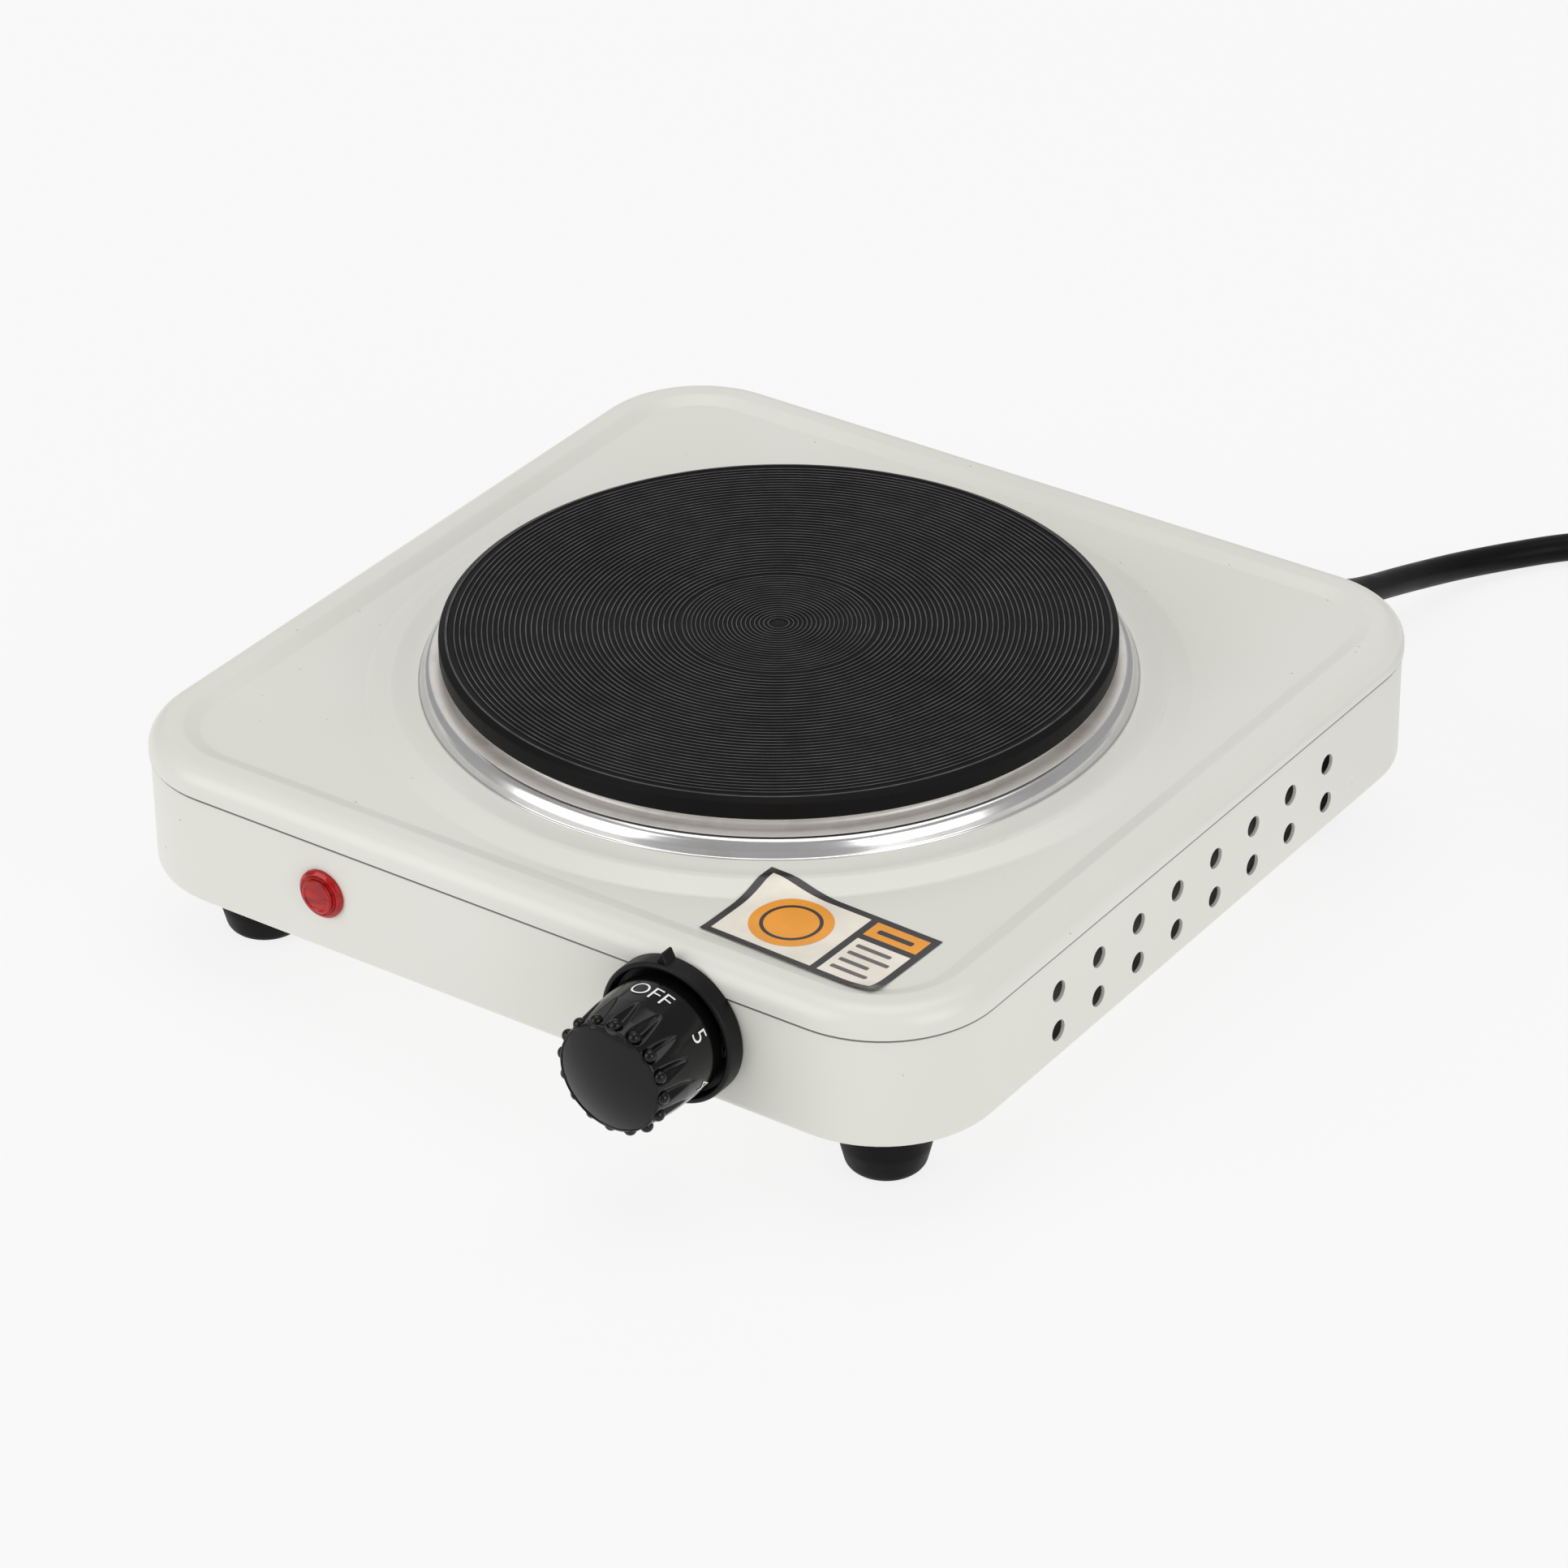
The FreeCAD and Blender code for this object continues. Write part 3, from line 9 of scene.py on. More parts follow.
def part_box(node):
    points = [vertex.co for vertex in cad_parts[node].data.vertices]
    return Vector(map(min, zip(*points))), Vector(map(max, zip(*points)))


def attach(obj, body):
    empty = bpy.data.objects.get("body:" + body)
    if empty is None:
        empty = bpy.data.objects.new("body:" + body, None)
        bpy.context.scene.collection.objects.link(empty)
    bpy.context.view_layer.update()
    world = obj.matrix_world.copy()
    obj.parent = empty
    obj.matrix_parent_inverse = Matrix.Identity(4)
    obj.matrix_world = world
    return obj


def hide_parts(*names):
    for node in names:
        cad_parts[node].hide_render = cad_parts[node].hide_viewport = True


# A single electric hot plate in a soft studio light. Metres, in the part's own frame: +X is to the
# user's right, +Y to the back and +Z up, and the floor is z = 0. Sizes ending in _mm are millimetres.

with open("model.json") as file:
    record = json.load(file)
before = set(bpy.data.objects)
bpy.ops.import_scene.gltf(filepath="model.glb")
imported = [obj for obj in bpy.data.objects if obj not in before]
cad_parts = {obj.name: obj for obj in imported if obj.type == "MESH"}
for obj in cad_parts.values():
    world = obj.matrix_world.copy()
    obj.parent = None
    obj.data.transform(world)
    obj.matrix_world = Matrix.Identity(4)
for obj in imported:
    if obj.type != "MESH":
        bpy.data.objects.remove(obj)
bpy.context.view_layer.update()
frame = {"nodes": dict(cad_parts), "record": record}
NODES = frame["nodes"]
MM = 0.001


def middle(node):
    """The centre of a CAD node's box."""
    low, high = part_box(node)
    return (Vector(low) + Vector(high)) / 2


def span(node, axis):
    """How far a CAD node reaches along an axis."""
    low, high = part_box(node)
    return high[axis] - low[axis]


def joint_place(name):
    """Where the record puts a joint."""
    joints = frame["record"]["behaviour"]["joints"]
    return Vector(next(joint["pos_m"] for joint in joints if joint["name"] == name))


# ---- Places and sizes, from the frame ----

COVER_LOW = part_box("top_cover")[0][2]
BOSS_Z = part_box("top_cover")[1][2]
DISC = middle("heating_disc")
DISC_RADIUS = span("heating_disc", 0) / 2
DISC_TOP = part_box("heating_disc")[1][2]
DISC_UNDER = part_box("heating_disc")[0][2]
RING_OUTER = span("trim_ring", 0) / 2
RING_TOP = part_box("trim_ring")[1][2]
DIAL = joint_place("dial_turn")
LAMP = Vector((middle("pilot_lens").x, DIAL.y, middle("pilot_lens").z))

# ---- Camera ----


def camera():
    """The photograph's viewpoint: its direction, its roll and how far it stands from the disc."""
    azimuth, elevation, roll = (math.radians(angle) for angle in (35.089, 31.338, -0.655))
    distance, aim_right, aim_down = 1.39242, 0.00123, 0.03667
    back = Vector((math.sin(azimuth) * math.cos(elevation),
                   -math.cos(azimuth) * math.cos(elevation), math.sin(elevation)))
    level = Vector((math.cos(azimuth), math.sin(azimuth), 0))
    above = back.cross(level)
    right = level * math.cos(roll) + above * math.sin(roll)
    up = above * math.cos(roll) - level * math.sin(roll)
    aim = Vector((DISC.x, DISC.y, DISC_TOP)) + right * aim_right - up * aim_down
    data = bpy.data.cameras.new("camera")
    data.lens = 140.47
    data.sensor_width = 36
    item = bpy.data.objects.new("camera", data)
    bpy.context.scene.collection.objects.link(item)
    turn = Matrix((right, up, back)).transposed().to_4x4()
    item.matrix_world = Matrix.Translation(aim + back * distance) @ turn
    bpy.context.scene.camera = item


# ---- Materials ----


def srgb(*levels):
    """A colour given as it shows on a screen, 0 to 255, as the shader's linear numbers."""
    linear = []
    for level in levels:
        share = level / 255
        linear.append(share / 12.92 if share <= 0.04045 else ((share + 0.055) / 1.055) ** 2.4)
    return (*linear, 1)


class Look:
    """One procedural material around a Principled shader, with its patterns in object space."""

    def __init__(self, name, colour, roughness, **fixed):
        self.material = bpy.data.materials.new(name)
        self.material.use_nodes = True
        self.tree = self.material.node_tree
        self.shader = self.tree.nodes["Principled BSDF"]
        self.place = self.add("ShaderNodeTexCoord").outputs["Object"]
        self.set("Base Color", colour)
        self.set("Roughness", roughness)
        for socket, value in fixed.items():
            self.set(socket.replace("_", " "), value)

    def add(self, kind, **settings):
        node = self.tree.nodes.new(kind)
        for name, value in settings.items():
            setattr(node, name, value)
        return node

    def link(self, source, target):
        self.tree.links.new(source, target)

    def set(self, socket, value):
        self.shader.inputs[socket].default_value = value

    def noise(self, size_mm, detail=3, stretch=(1, 1, 1), rough=0.5):
        """Noise whose features are about size_mm across, drawn out along the stretched axes."""
        mapping = self.add("ShaderNodeMapping")
        mapping.inputs["Scale"].default_value = [1 / share for share in stretch]
        self.link(self.place, mapping.inputs["Vector"])
        texture = self.add("ShaderNodeTexNoise")
        texture.inputs["Scale"].default_value = 1 / (size_mm * MM)
        texture.inputs["Detail"].default_value = detail
        texture.inputs["Roughness"].default_value = rough
        self.link(mapping.outputs["Vector"], texture.inputs["Vector"])
        return texture.outputs["Fac"]

    def ranged(self, source, low, high, new_low=0.0, new_high=1.0):
        """The source's low-to-high part spread over another range, and held there beyond it."""
        ranger = self.add("ShaderNodeMapRange")
        ranger.inputs["From Min"].default_value = low
        ranger.inputs["From Max"].default_value = high
        ranger.inputs["To Min"].default_value = new_low
        ranger.inputs["To Max"].default_value = new_high
        self.link(source, ranger.inputs["Value"])
        return ranger.outputs["Result"]

    def blended(self, share, first, second):
        """A mix of two colours, each a fixed colour or another pattern's output."""
        mix = self.add("ShaderNodeMix", data_type="RGBA")
        self.link(share, mix.inputs["Factor"])
        for socket, colour in ((mix.inputs[6], first), (mix.inputs[7], second)):
            if isinstance(colour, tuple):
                socket.default_value = colour
            else:
                self.link(colour, socket)
        return mix.outputs[2]

    def paint(self, colour):
        self.link(colour, self.shader.inputs["Base Color"])

    def roughen(self, source, low, high, smooth, coarse):
        self.link(self.ranged(source, low, high, smooth, coarse), self.shader.inputs["Roughness"])

    def bump(self, source, height_mm):
        node = self.add("ShaderNodeBump")
        node.inputs["Distance"].default_value = height_mm * MM
        self.link(source, node.inputs["Height"])
        self.link(node.outputs["Normal"], self.shader.inputs["Normal"])


def enamel():
    """Off-white stove paint: slight random changes of tone, a few dark specks, and a painted shadow in the
    gap along the seam.
    """
    look = Look("enamel", srgb(224, 224, 216), 0.34, Coat_Weight=0.12, Coat_Roughness=0.22)
    cloud = look.ranged(look.noise(70, 2), 0.35, 0.65)
    shade = look.blended(cloud, srgb(226, 225, 218), srgb(222, 222, 213))
    speck = look.ranged(look.noise(1.3, 0), 0.9, 0.93)
    spotted = look.blended(speck, shade, srgb(168, 166, 156))
    axes = look.add("ShaderNodeSeparateXYZ")
    look.link(look.place, axes.inputs["Vector"])
    height = axes.outputs["Z"]
    # Painted shadow: a dark band from just under the cover's lower edge to just above it, standing for the
    # shaded gap between cover and tray.
    from_below = look.ranged(height, COVER_LOW - 0.75 * MM, COVER_LOW - 0.55 * MM)
    to_above = look.ranged(height, COVER_LOW + 0.02 * MM, COVER_LOW + 0.12 * MM)
    painted_seam_shadow = look.blended(from_below, spotted, srgb(112, 115, 105))
    look.paint(look.blended(to_above, painted_seam_shadow, spotted))
    look.roughen(look.noise(14, 2), 0.3, 0.7, 0.32, 0.37)
    look.bump(look.noise(2.4, 1), 0.002)
    return look.material


def cast_iron():
    """Blackened iron with a fine grain."""
    look = Look("cast_iron", srgb(21, 20, 21), 0.5, Specular_IOR_Level=0.1)
    grain = look.noise(0.5, 5, rough=0.7)
    patch = look.ranged(look.noise(22, 4), 0.35, 0.7)
    shade = look.blended(patch, srgb(15, 14, 15), srgb(21, 20, 21))
    fleck = look.ranged(grain, 0.68, 0.8)
    look.paint(look.blended(fleck, shade, srgb(48, 46, 48)))
    look.roughen(grain, 0.3, 0.7, 0.42, 0.6)
    look.bump(grain, 0.03)
    return look.material


def iron_with_painted_crest_highlight():
    """The same iron painted paler on the flat crests of the turned grooves: a painted highlight for the
    light the crests catch, patchy in tone.
    """
    look = Look("iron_with_painted_crest_highlight", srgb(66, 64, 66), 0.42, Specular_IOR_Level=0.25)
    crest_patchiness = look.ranged(look.noise(6, 5, rough=0.6), 0.35, 0.65)
    look.paint(look.blended(crest_patchiness, srgb(54, 52, 54), srgb(82, 80, 82)))
    look.roughen(look.noise(0.6, 4), 0.3, 0.7, 0.35, 0.55)
    return look.material


def stainless():
    """Bright rolled steel with faint handling marks."""
    look = Look("stainless", srgb(226, 225, 225), 0.2, Metallic=1.0)
    smear = look.noise(16, 4, rough=0.6)
    look.paint(look.blended(look.ranged(smear, 0.5, 0.8), srgb(226, 225, 225), srgb(206, 204, 202)))
    look.roughen(smear, 0.35, 0.75, 0.17, 0.24)
    look.bump(look.noise(14, 1), 0.008)
    return look.material


def satin_steel_painted_reflection():
    """The ring's inner slope, dulled by heat and boiled-over water; its near-white cream colour is a
    painted reflection of the enamel and a painted lightening of the band that the disc shades.
    """
    look = Look("satin_steel_painted_reflection", srgb(242, 238, 232), 0.42, Metallic=0.25)
    stain = look.noise(9, 4, rough=0.6)
    look.paint(look.blended(look.ranged(stain, 0.5, 0.75), srgb(242, 238, 232), srgb(222, 216, 208)))
    look.roughen(stain, 0.35, 0.75, 0.36, 0.5)
    return look.material


def metal(name, colour, roughness, size_mm=1.5):
    """Plated or bare sheet and turned metal, slightly uneven in colour and shine."""
    look = Look(name, colour, roughness, Metallic=1.0)
    stain = look.noise(size_mm * 4, 4)
    darker = tuple(level * 0.82 for level in colour[:3]) + (1,)
    look.paint(look.blended(look.ranged(stain, 0.35, 0.7), colour, darker))
    look.roughen(look.noise(size_mm, 4), 0.3, 0.7, roughness * 0.8, roughness * 1.3)
    look.bump(look.noise(size_mm * 0.3, 3), 0.01)
    return look.material


def moulded(name, colour, roughness, grain_mm=0.4, height_mm=0.01, **fixed):
    """Moulded plastic, rubber or fired clay: a fine skin and a slight change of shade."""
    look = Look(name, colour, roughness, **fixed)
    lighter = tuple(min(1.0, level * 1.16 + 0.001) for level in colour[:3]) + (1,)
    look.paint(look.blended(look.ranged(look.noise(12, 3), 0.35, 0.7), colour, lighter))
    look.roughen(look.noise(5, 4), 0.3, 0.7, roughness * 0.88, roughness * 1.14)
    look.bump(look.noise(grain_mm, 3), height_mm)
    return look.material


def red_lens():
    """Clear red plastic, with streaks of deeper red in a stretched pattern."""
    look = Look("red_lens", srgb(172, 10, 10), 0.06, Specular_IOR_Level=0.45)
    streak = look.noise(2.2, 2, (2.5, 1, 0.5))
    look.paint(look.blended(look.ranged(streak, 0.35, 0.7), srgb(184, 12, 10), srgb(132, 4, 6)))
    return look.material


def glass():
    """The neon bulb's tinted glass."""
    look = Look("neon_glass", srgb(238, 205, 188), 0.08, Transmission_Weight=0.6, Coat_Weight=0.6)
    look.roughen(look.noise(2, 2), 0.3, 0.7, 0.05, 0.14)
    return look.material


def all_looks():
    """One material for each of the record's slots, and the few that only new pieces use."""
    return {
        "enamel": enamel(),
        "cast_iron": cast_iron(),
        "iron_with_painted_crest_highlight": iron_with_painted_crest_highlight(),
        "satin_steel_painted_reflection": satin_steel_painted_reflection(),
        "stainless": stainless(),
        "zinc_steel": metal("zinc_steel", srgb(190, 191, 194), 0.32),
        "bright_sheet": metal("bright_sheet", srgb(205, 206, 208), 0.25, 4),
        "heater_sheath": metal("heater_sheath", srgb(120, 116, 112), 0.45, 0.8),
        "brass": metal("brass", srgb(205, 176, 112), 0.3),
        "spring_bronze": metal("spring_bronze", srgb(196, 148, 108), 0.3),
        "bimetal": metal("bimetal", srgb(170, 168, 160), 0.35),
        "ceramic": moulded("ceramic", srgb(226, 220, 208), 0.5, 0.3, 0.02),
        "magnesia": moulded("magnesia", srgb(222, 218, 210), 0.85, 0.6, 0.12),
        "black_gloss": moulded("black_gloss", srgb(8, 8, 9), 0.15, 0.9, 0.001,
                               Specular_IOR_Level=0.3),
        "black_satin": moulded("black_satin", srgb(12, 12, 13), 0.4, 0.35, 0.004,
                               Specular_IOR_Level=0.2),
        "foot_rubber": moulded("foot_rubber", srgb(10, 9, 10), 0.5, 0.5, 0.006,
                               Specular_IOR_Level=0.12),
        "cord_sheath": moulded("cord_sheath", srgb(10, 9, 10), 0.42, 0.7, 0.006,
                               Specular_IOR_Level=0.12),
        "holder_plastic": moulded("holder_plastic", srgb(224, 222, 214), 0.4),
        "lead_live": moulded("lead_live", srgb(112, 66, 38), 0.4),
        "lead_neutral": moulded("lead_neutral", srgb(40, 82, 168), 0.4),
        "lead_earth": moulded("lead_earth", srgb(70, 140, 62), 0.4),
        "lead_white": moulded("lead_white", srgb(228, 226, 218), 0.45),
        "label_film": moulded("label_film", srgb(226, 219, 206), 0.28, 0.8, 0.003),
        "red_lens": red_lens(),
        "neon_glass": glass(),
        "label_ink": moulded("label_ink", srgb(44, 41, 42), 0.26, 0.8, 0.003),
        "label_amber": moulded("label_amber", srgb(228, 150, 40), 0.28, 0.8, 0.003),
        "label_grey": moulded("label_grey", srgb(96, 92, 90), 0.28, 0.8, 0.003),
        "dial_ink": moulded("dial_ink", srgb(232, 232, 232), 0.4),
    }


LOOKS = all_looks()


def dress_nodes():
    """Every CAD node gets the procedural material of its own slot."""
    for node in NODES.values():
        for slot in node.material_slots:
            slot.material = LOOKS[slot.material.name.split(".")[0]]


# ---- Mesh helpers ----


def piece(name, bm, looks, body, replaced=(), sharp_degrees=35):
    """A finished mesh object that rides on a body and stands for CAD nodes."""
    bmesh.ops.recalc_face_normals(bm, faces=bm.faces)
    mesh = bpy.data.meshes.new(name)
    bm.to_mesh(mesh)
    bm.free()
    mesh.shade_smooth()
    mesh.set_sharp_from_angle(angle=math.radians(sharp_degrees))
    item = bpy.data.objects.new(name, mesh)
    bpy.context.scene.collection.objects.link(item)
    for look in looks:
        mesh.materials.append(LOOKS[look])
    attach(item, body)
    if replaced:
        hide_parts(*replaced)
    return item


def rounded_line(corners, steps=6, closed=False):
    """A line through (x, y, radius) corners, with an arc of that radius in place of each corner."""
    points = []
    count = len(corners)
    for number, (x, y, radius) in enumerate(corners):
        here = Vector((x, y))
        if radius <= 0 or (not closed and number in (0, count - 1)):
            points.append(here)
            continue
        before = Vector(corners[number - 1][:2]) - here
        after = Vector(corners[(number + 1) % count][:2]) - here
        half_angle = before.angle(after) / 2
        reach = radius / math.tan(half_angle)
        bisector = (before.normalized() + after.normalized()).normalized()
        centre = here + bisector * (radius / math.sin(half_angle))
        start = here + before.normalized() * reach - centre
        finish = here + after.normalized() * reach - centre
        turn = start.angle_signed(finish)
        for step in range(steps + 1):
            angle = -turn * step / steps
            arm = Vector((start.x * math.cos(angle) - start.y * math.sin(angle),
                          start.x * math.sin(angle) + start.y * math.cos(angle)))
            points.append(centre + arm)
    return points


def bridged(bm, loops):
    """Joins rings of vertices, each with as many as the next, by four-sided faces."""
    for low, high in zip(loops, loops[1:]):
        for number in range(len(low)):
            after = (number + 1) % len(low)
            bm.faces.new((low[number], low[after], high[after], high[number]))


def capped(bm, loop, centre):
    """Closes a loop with triangles that meet at its centre."""
    hub = bm.verts.new(centre)
    for number in range(len(loop)):
        bm.faces.new((loop[number], loop[(number + 1) % len(loop)], hub))


def lathe(line_mm, steps, place, closed=False, swell=None):
    """A surface turned about a local Z axis from (radius, height) points in millimetres.

    swell(radius, height, angle) gives another radius, for flutes and ribs."""
    bm = bmesh.new()
    loops = []
    for radius, height in line_mm:
        loop = []
        for step in range(steps):
            angle = 2 * math.pi * step / steps
            out = swell(radius, height, angle) if swell else radius
            spot = Vector((out * math.cos(angle), out * math.sin(angle), height)) * MM
            loop.append(bm.verts.new(place @ spot))
        loops.append(loop)
    bridged(bm, loops + loops[:1] if closed else loops)
    if not closed:
        for loop, (_, height) in ((loops[0], line_mm[0]), (loops[-1], line_mm[-1])):
            capped(bm, loop, place @ (Vector((0, 0, height)) * MM))
    return bm


def upright_at(x, y):
    """A place on the floor whose local Z points up."""
    return Matrix.Translation((x, y, 0))


def out_of_front(place):
    """A place whose local Z points out of the front wall, and whose local Y points up."""
    return Matrix.Translation(place) @ Matrix.Rotation(math.pi / 2, 4, "X")


# ---- Power cord ----


def cord_coil():
    """The coil's points, twelve to a turn: two turns beside each other on the floor, and the last
    part on top of them, as (x, y, z) in millimetres."""
    centre_x, centre_y, per_turn, turns = 154.0, 225.4, 12, 2.25
    outward = 1 / math.cos(math.pi / per_turn)
    stages = [(0, 42, 3.5), (0.72, 42, 3.5), (1.0, 35, 3.5), (1.55, 35, 3.5), (1.72, 36, 9.8),
              (1.86, 38.3, 11), (2.05, 38.5, 10.0), (2.25, 38.5, 10.0)]
    points = []
    for number in range(round(per_turn * turns)):
        share = (number + 0.5) / per_turn
        for low, high in zip(stages, stages[1:]):
            if low[0] <= share <= high[0]:
                part = (share - low[0]) / (high[0] - low[0])
                radius = low[1] + (high[1] - low[1]) * part
                height = low[2] + (high[2] - low[2]) * part
        angle = math.pi / 2 - 2 * math.pi * share
        reach = radius * outward
        points.append((centre_x + reach * math.cos(angle), centre_y + reach * math.sin(angle), height))
    return points


def power_cord():
    """One smooth line from the strain relief down to the floor, into the coil and to the plug."""
    route = [
        (60, 138.75, 29), (60, 148, 29), (60, 159, 24.2), (60, 170.5, 18.9), (60.1, 181.3, 15.3),
        (60.3, 192.8, 11.9), (61.2, 205.8, 8.2), (64.2, 219.2, 5.4), (70.4, 232.6, 3.7),
        (80, 245.4, 3.5), (92.5, 256.3, 3.5), (108, 263.6, 3.5), (125, 267, 3.5),
        (137.5, 267.3, 3.5),
    ]
    to_plug = [(192.5, 214, 10.9), (192.5, 200, 10.2), (192.5, 188, 9.56), (192.5, 172, 9.56)]
    data = bpy.data.curves.new("power_cord_line", "CURVE")
    data.dimensions = "3D"
    spline = data.splines.new("NURBS")
    points = route + cord_coil() + to_plug
    spline.points.add(len(points) - 1)
    for target, point in zip(spline.points, points):
        target.co = (*(Vector(point) * MM), 1)
    spline.order_u = 3
    spline.use_endpoint_u = True
    spline.resolution_u = 8
    data.bevel_depth = 3.5 * MM
    data.bevel_resolution = 6
    data.use_fill_caps = True
    item = bpy.data.objects.new("mains_cord", data)
    bpy.context.scene.collection.objects.link(item)
    data.materials.append(LOOKS["cord_sheath"])
    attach(item, "case")
    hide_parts("power_cord", "power_cord_coil", "power_cord_tail")
    return item


# ---- Heating disc and trim ring ----


def filled_in(points, gap):
    """The line again, with points added so that no two are further apart than the gap."""
    filled = [points[0]]
    for after in points[1:]:
        before = filled[-1]
        count = max(1, math.ceil(math.dist(before, after) / gap))
        for step in range(1, count + 1):
            share = step / count
            filled.append((before[0] + (after[0] - before[0]) * share,
                           before[1] + (after[1] - before[1]) * share))
    return filled


def turned_grooves(outer, inner, pitch, depth, height):
    """The profile that a lathe tool leaves: narrow flat crests with round valleys between them."""
    line = []
    for number in range(round((outer - inner) / pitch)):
        for share, drop in ((0, 0), (0.24, 0), (0.36, 0.75), (0.62, 1), (0.88, 0.75)):
            line.append((outer - (number + share) * pitch, height - drop * depth))
    return line


def heating_disc():
    """The iron disc: a grooved top, a bevelled shoulder and the coil's channel below."""
    top, under, radius = DISC_TOP / MM, DISC_UNDER / MM, DISC_RADIUS / MM
    body_radius, channel_top, rim_under = radius - 5, under + 7, RING_TOP / MM
    corners = [
        (4, under + 9, 0), (4, under, 0), (24, under, 0), (24, channel_top, 0), (66, channel_top, 0),
        (66, under, 0), (body_radius, under, 0), (body_radius, rim_under, 0),
        (radius, rim_under, 0.4), (radius, top - 0.9, 0.5), (radius - 1.5, top, 0.3),
    ]
    shoulder, first, change = radius - 1.5, radius - 3.5, 22.3
    line = [tuple(point) for point in rounded_line(corners, 4)] + [(shoulder, top)]
    line += turned_grooves(shoulder, first, 2.0, 0.3, top)
    line += turned_grooves(first, change, 1.255, 0.3, top)
    line += turned_grooves(change - 0.2, 1.8, 1.03, 0.25, top)
    bm = lathe(line, 384, upright_at(DISC.x, DISC.y))
    # Faces on the flat crests get the second material, painted paler as a highlight for the light the
    # crests catch.
    for face in bm.faces:
        crest = all(vertex.co.z > DISC_TOP - 0.02 * MM for vertex in face.verts)
        if crest and math.dist(face.calc_center_median()[:2], DISC[:2]) < shoulder * MM - 0.1 * MM:
            face.material_index = 1
    piece("disc_casting", bm, ["cast_iron", "iron_with_painted_crest_highlight"], "case", ["heating_disc"], 22)


def trim_ring():
    """The steel ring: a sloping outside, a low hump and a collar that stands up to the disc's rim."""
    foot, top, outer = BOSS_Z / MM, RING_TOP / MM, RING_OUTER / MM
    collar, gauge, crest = DISC_RADIUS / MM - 4.4, 0.5, RING_OUTER / MM - 2.3
    hump = foot + 4.35
    polished_from = crest - 0.9
    corners = [
        (outer, foot, 0), (outer, foot + 0.3, 0.2), (outer - 0.35, foot + 0.5, 0.4),
        (outer - 0.85, foot + 2.0, 4), (crest + 0.45, hump - 0.6, 2.2), (crest - 2.0, hump + 0.1, 6),
        (collar + gauge, hump - 1.3, 1.2),
        (collar + gauge, top, 0), (collar, top, 0), (collar, hump - 2.1, 0.4),
        (crest - 2.0, hump - 0.45, 4), (crest - 0.2, hump - 1.0, 0.8), (outer - 0.9, foot, 0),
    ]
    line = [tuple(point) for point in rounded_line(corners, 16, closed=True)]
    bm = lathe(filled_in(line, 0.5), 360, upright_at(DISC.x, DISC.y), closed=True)
    # Faces inside the crest get the near-white satin material, whose colour is a painted reflection of the
    # enamel and a painted lightening of the band in the disc's shade.
    for face in bm.faces:
        if math.dist(face.calc_center_median()[:2], DISC[:2]) < polished_from * MM:
            face.material_index = 1
    piece("steel_ring", bm, ["stainless", "satin_steel_painted_reflection"], "case", ["trim_ring"], 50)


# ---- Dial ----

FLUTES = 16
KNOB_TURN = math.radians(-4)


def fluted(radius, height, angle):
    """The knob's outer radius: drop-shaped hollows that widen and deepen towards its front."""
    tail, mouth, end = 15.0, 22.5, 25.3
    if height < tail or height > end or radius < 12:
        return radius
    pitch = 2 * math.pi / FLUTES
    off = abs((angle - math.pi / 2 - KNOB_TURN + pitch / 2) % pitch - pitch / 2) * radius
    along = min(1.0, (height - tail) / (mouth - tail))
    fade = min(1.0, (end - height) / 1.1)
    half_width = (0.45 + 1.65 * along ** 0.8) * (0.75 + 0.25 * fade)
    depth = 1.35 * math.sin(math.pi / 2 * along) * math.sin(math.pi / 2 * fade)
    if off >= half_width:
        return radius
    return radius - depth * math.cos(math.pi / 2 * off / half_width) ** 1.5


def control_knob():
    """The knob: a plain skirt, a fluted grip with a ball in each flute, and a domed cap."""
    reach, back, radius = 27.6, 3.6, 14.3
    inside = [(3.05, reach - 9), (3.05, back + 1), (5.6, back + 1), (5.6, reach - 6.5),
              (11.0, reach - 6.5), (radius - 1.5, back + 0.2), (radius - 0.9, back)]
    skirt = rounded_line([(radius - 0.9, back, 0), (radius - 0.1, back, 0.5), (radius + 0.05, back + 4, 8),
                          (radius - 0.2, 15.6, 12), (radius - 0.75, 21.5, 8), (radius - 1.35, 25.0, 0)])
    grip = filled_in([tuple(point) for point in skirt], 0.3)
    edge, rise = 12.45, 2.4
    ball = (edge ** 2 + rise ** 2) / (2 * rise)
    dome = []
    for step in range(25):
        out = edge * (1 - step / 25)
        dome.append((out, reach - ball + math.sqrt(ball ** 2 - out ** 2)))
    shoulder = [(radius - 1.5, 25.3), (edge + 0.2, 25.4), (edge + 0.08, 25.28)]
    place = out_of_front(DIAL)
    bm = lathe(inside + grip[1:] + shoulder + dome, 384, place, swell=fluted)
    bead, bead_out, bead_from_wall = 1.5, 12.85, 23.75
    for number in range(FLUTES):
        angle = math.pi / 2 + KNOB_TURN + 2 * math.pi * number / FLUTES
        spot = Vector((bead_out * math.cos(angle), bead_out * math.sin(angle), bead_from_wall)) * MM
        bmesh.ops.create_uvsphere(bm, u_segments=24, v_segments=16, radius=bead * MM,
                                  matrix=place @ Matrix.Translation(spot))
    piece("dial_knob", bm, ["black_gloss"], "dial", ["control_knob"], 50)


def flat_letters(word, height_mm, thinner_mm):
    """The word's filled outline on the XY plane, centred, in millimetres."""
    data = bpy.data.curves.new("mark", "FONT")
    data.body = word
    data.size = height_mm / 0.7
    data.offset = -thinner_mm
    data.align_x, data.align_y = "CENTER", "CENTER"
    text = bpy.data.objects.new("mark", data)
    flat = bpy.data.meshes.new_from_object(text)
    bpy.data.objects.remove(text)
    bpy.data.curves.remove(data)
    letters = bmesh.new()
    letters.from_mesh(flat)
    bpy.data.meshes.remove(flat)
    return letters


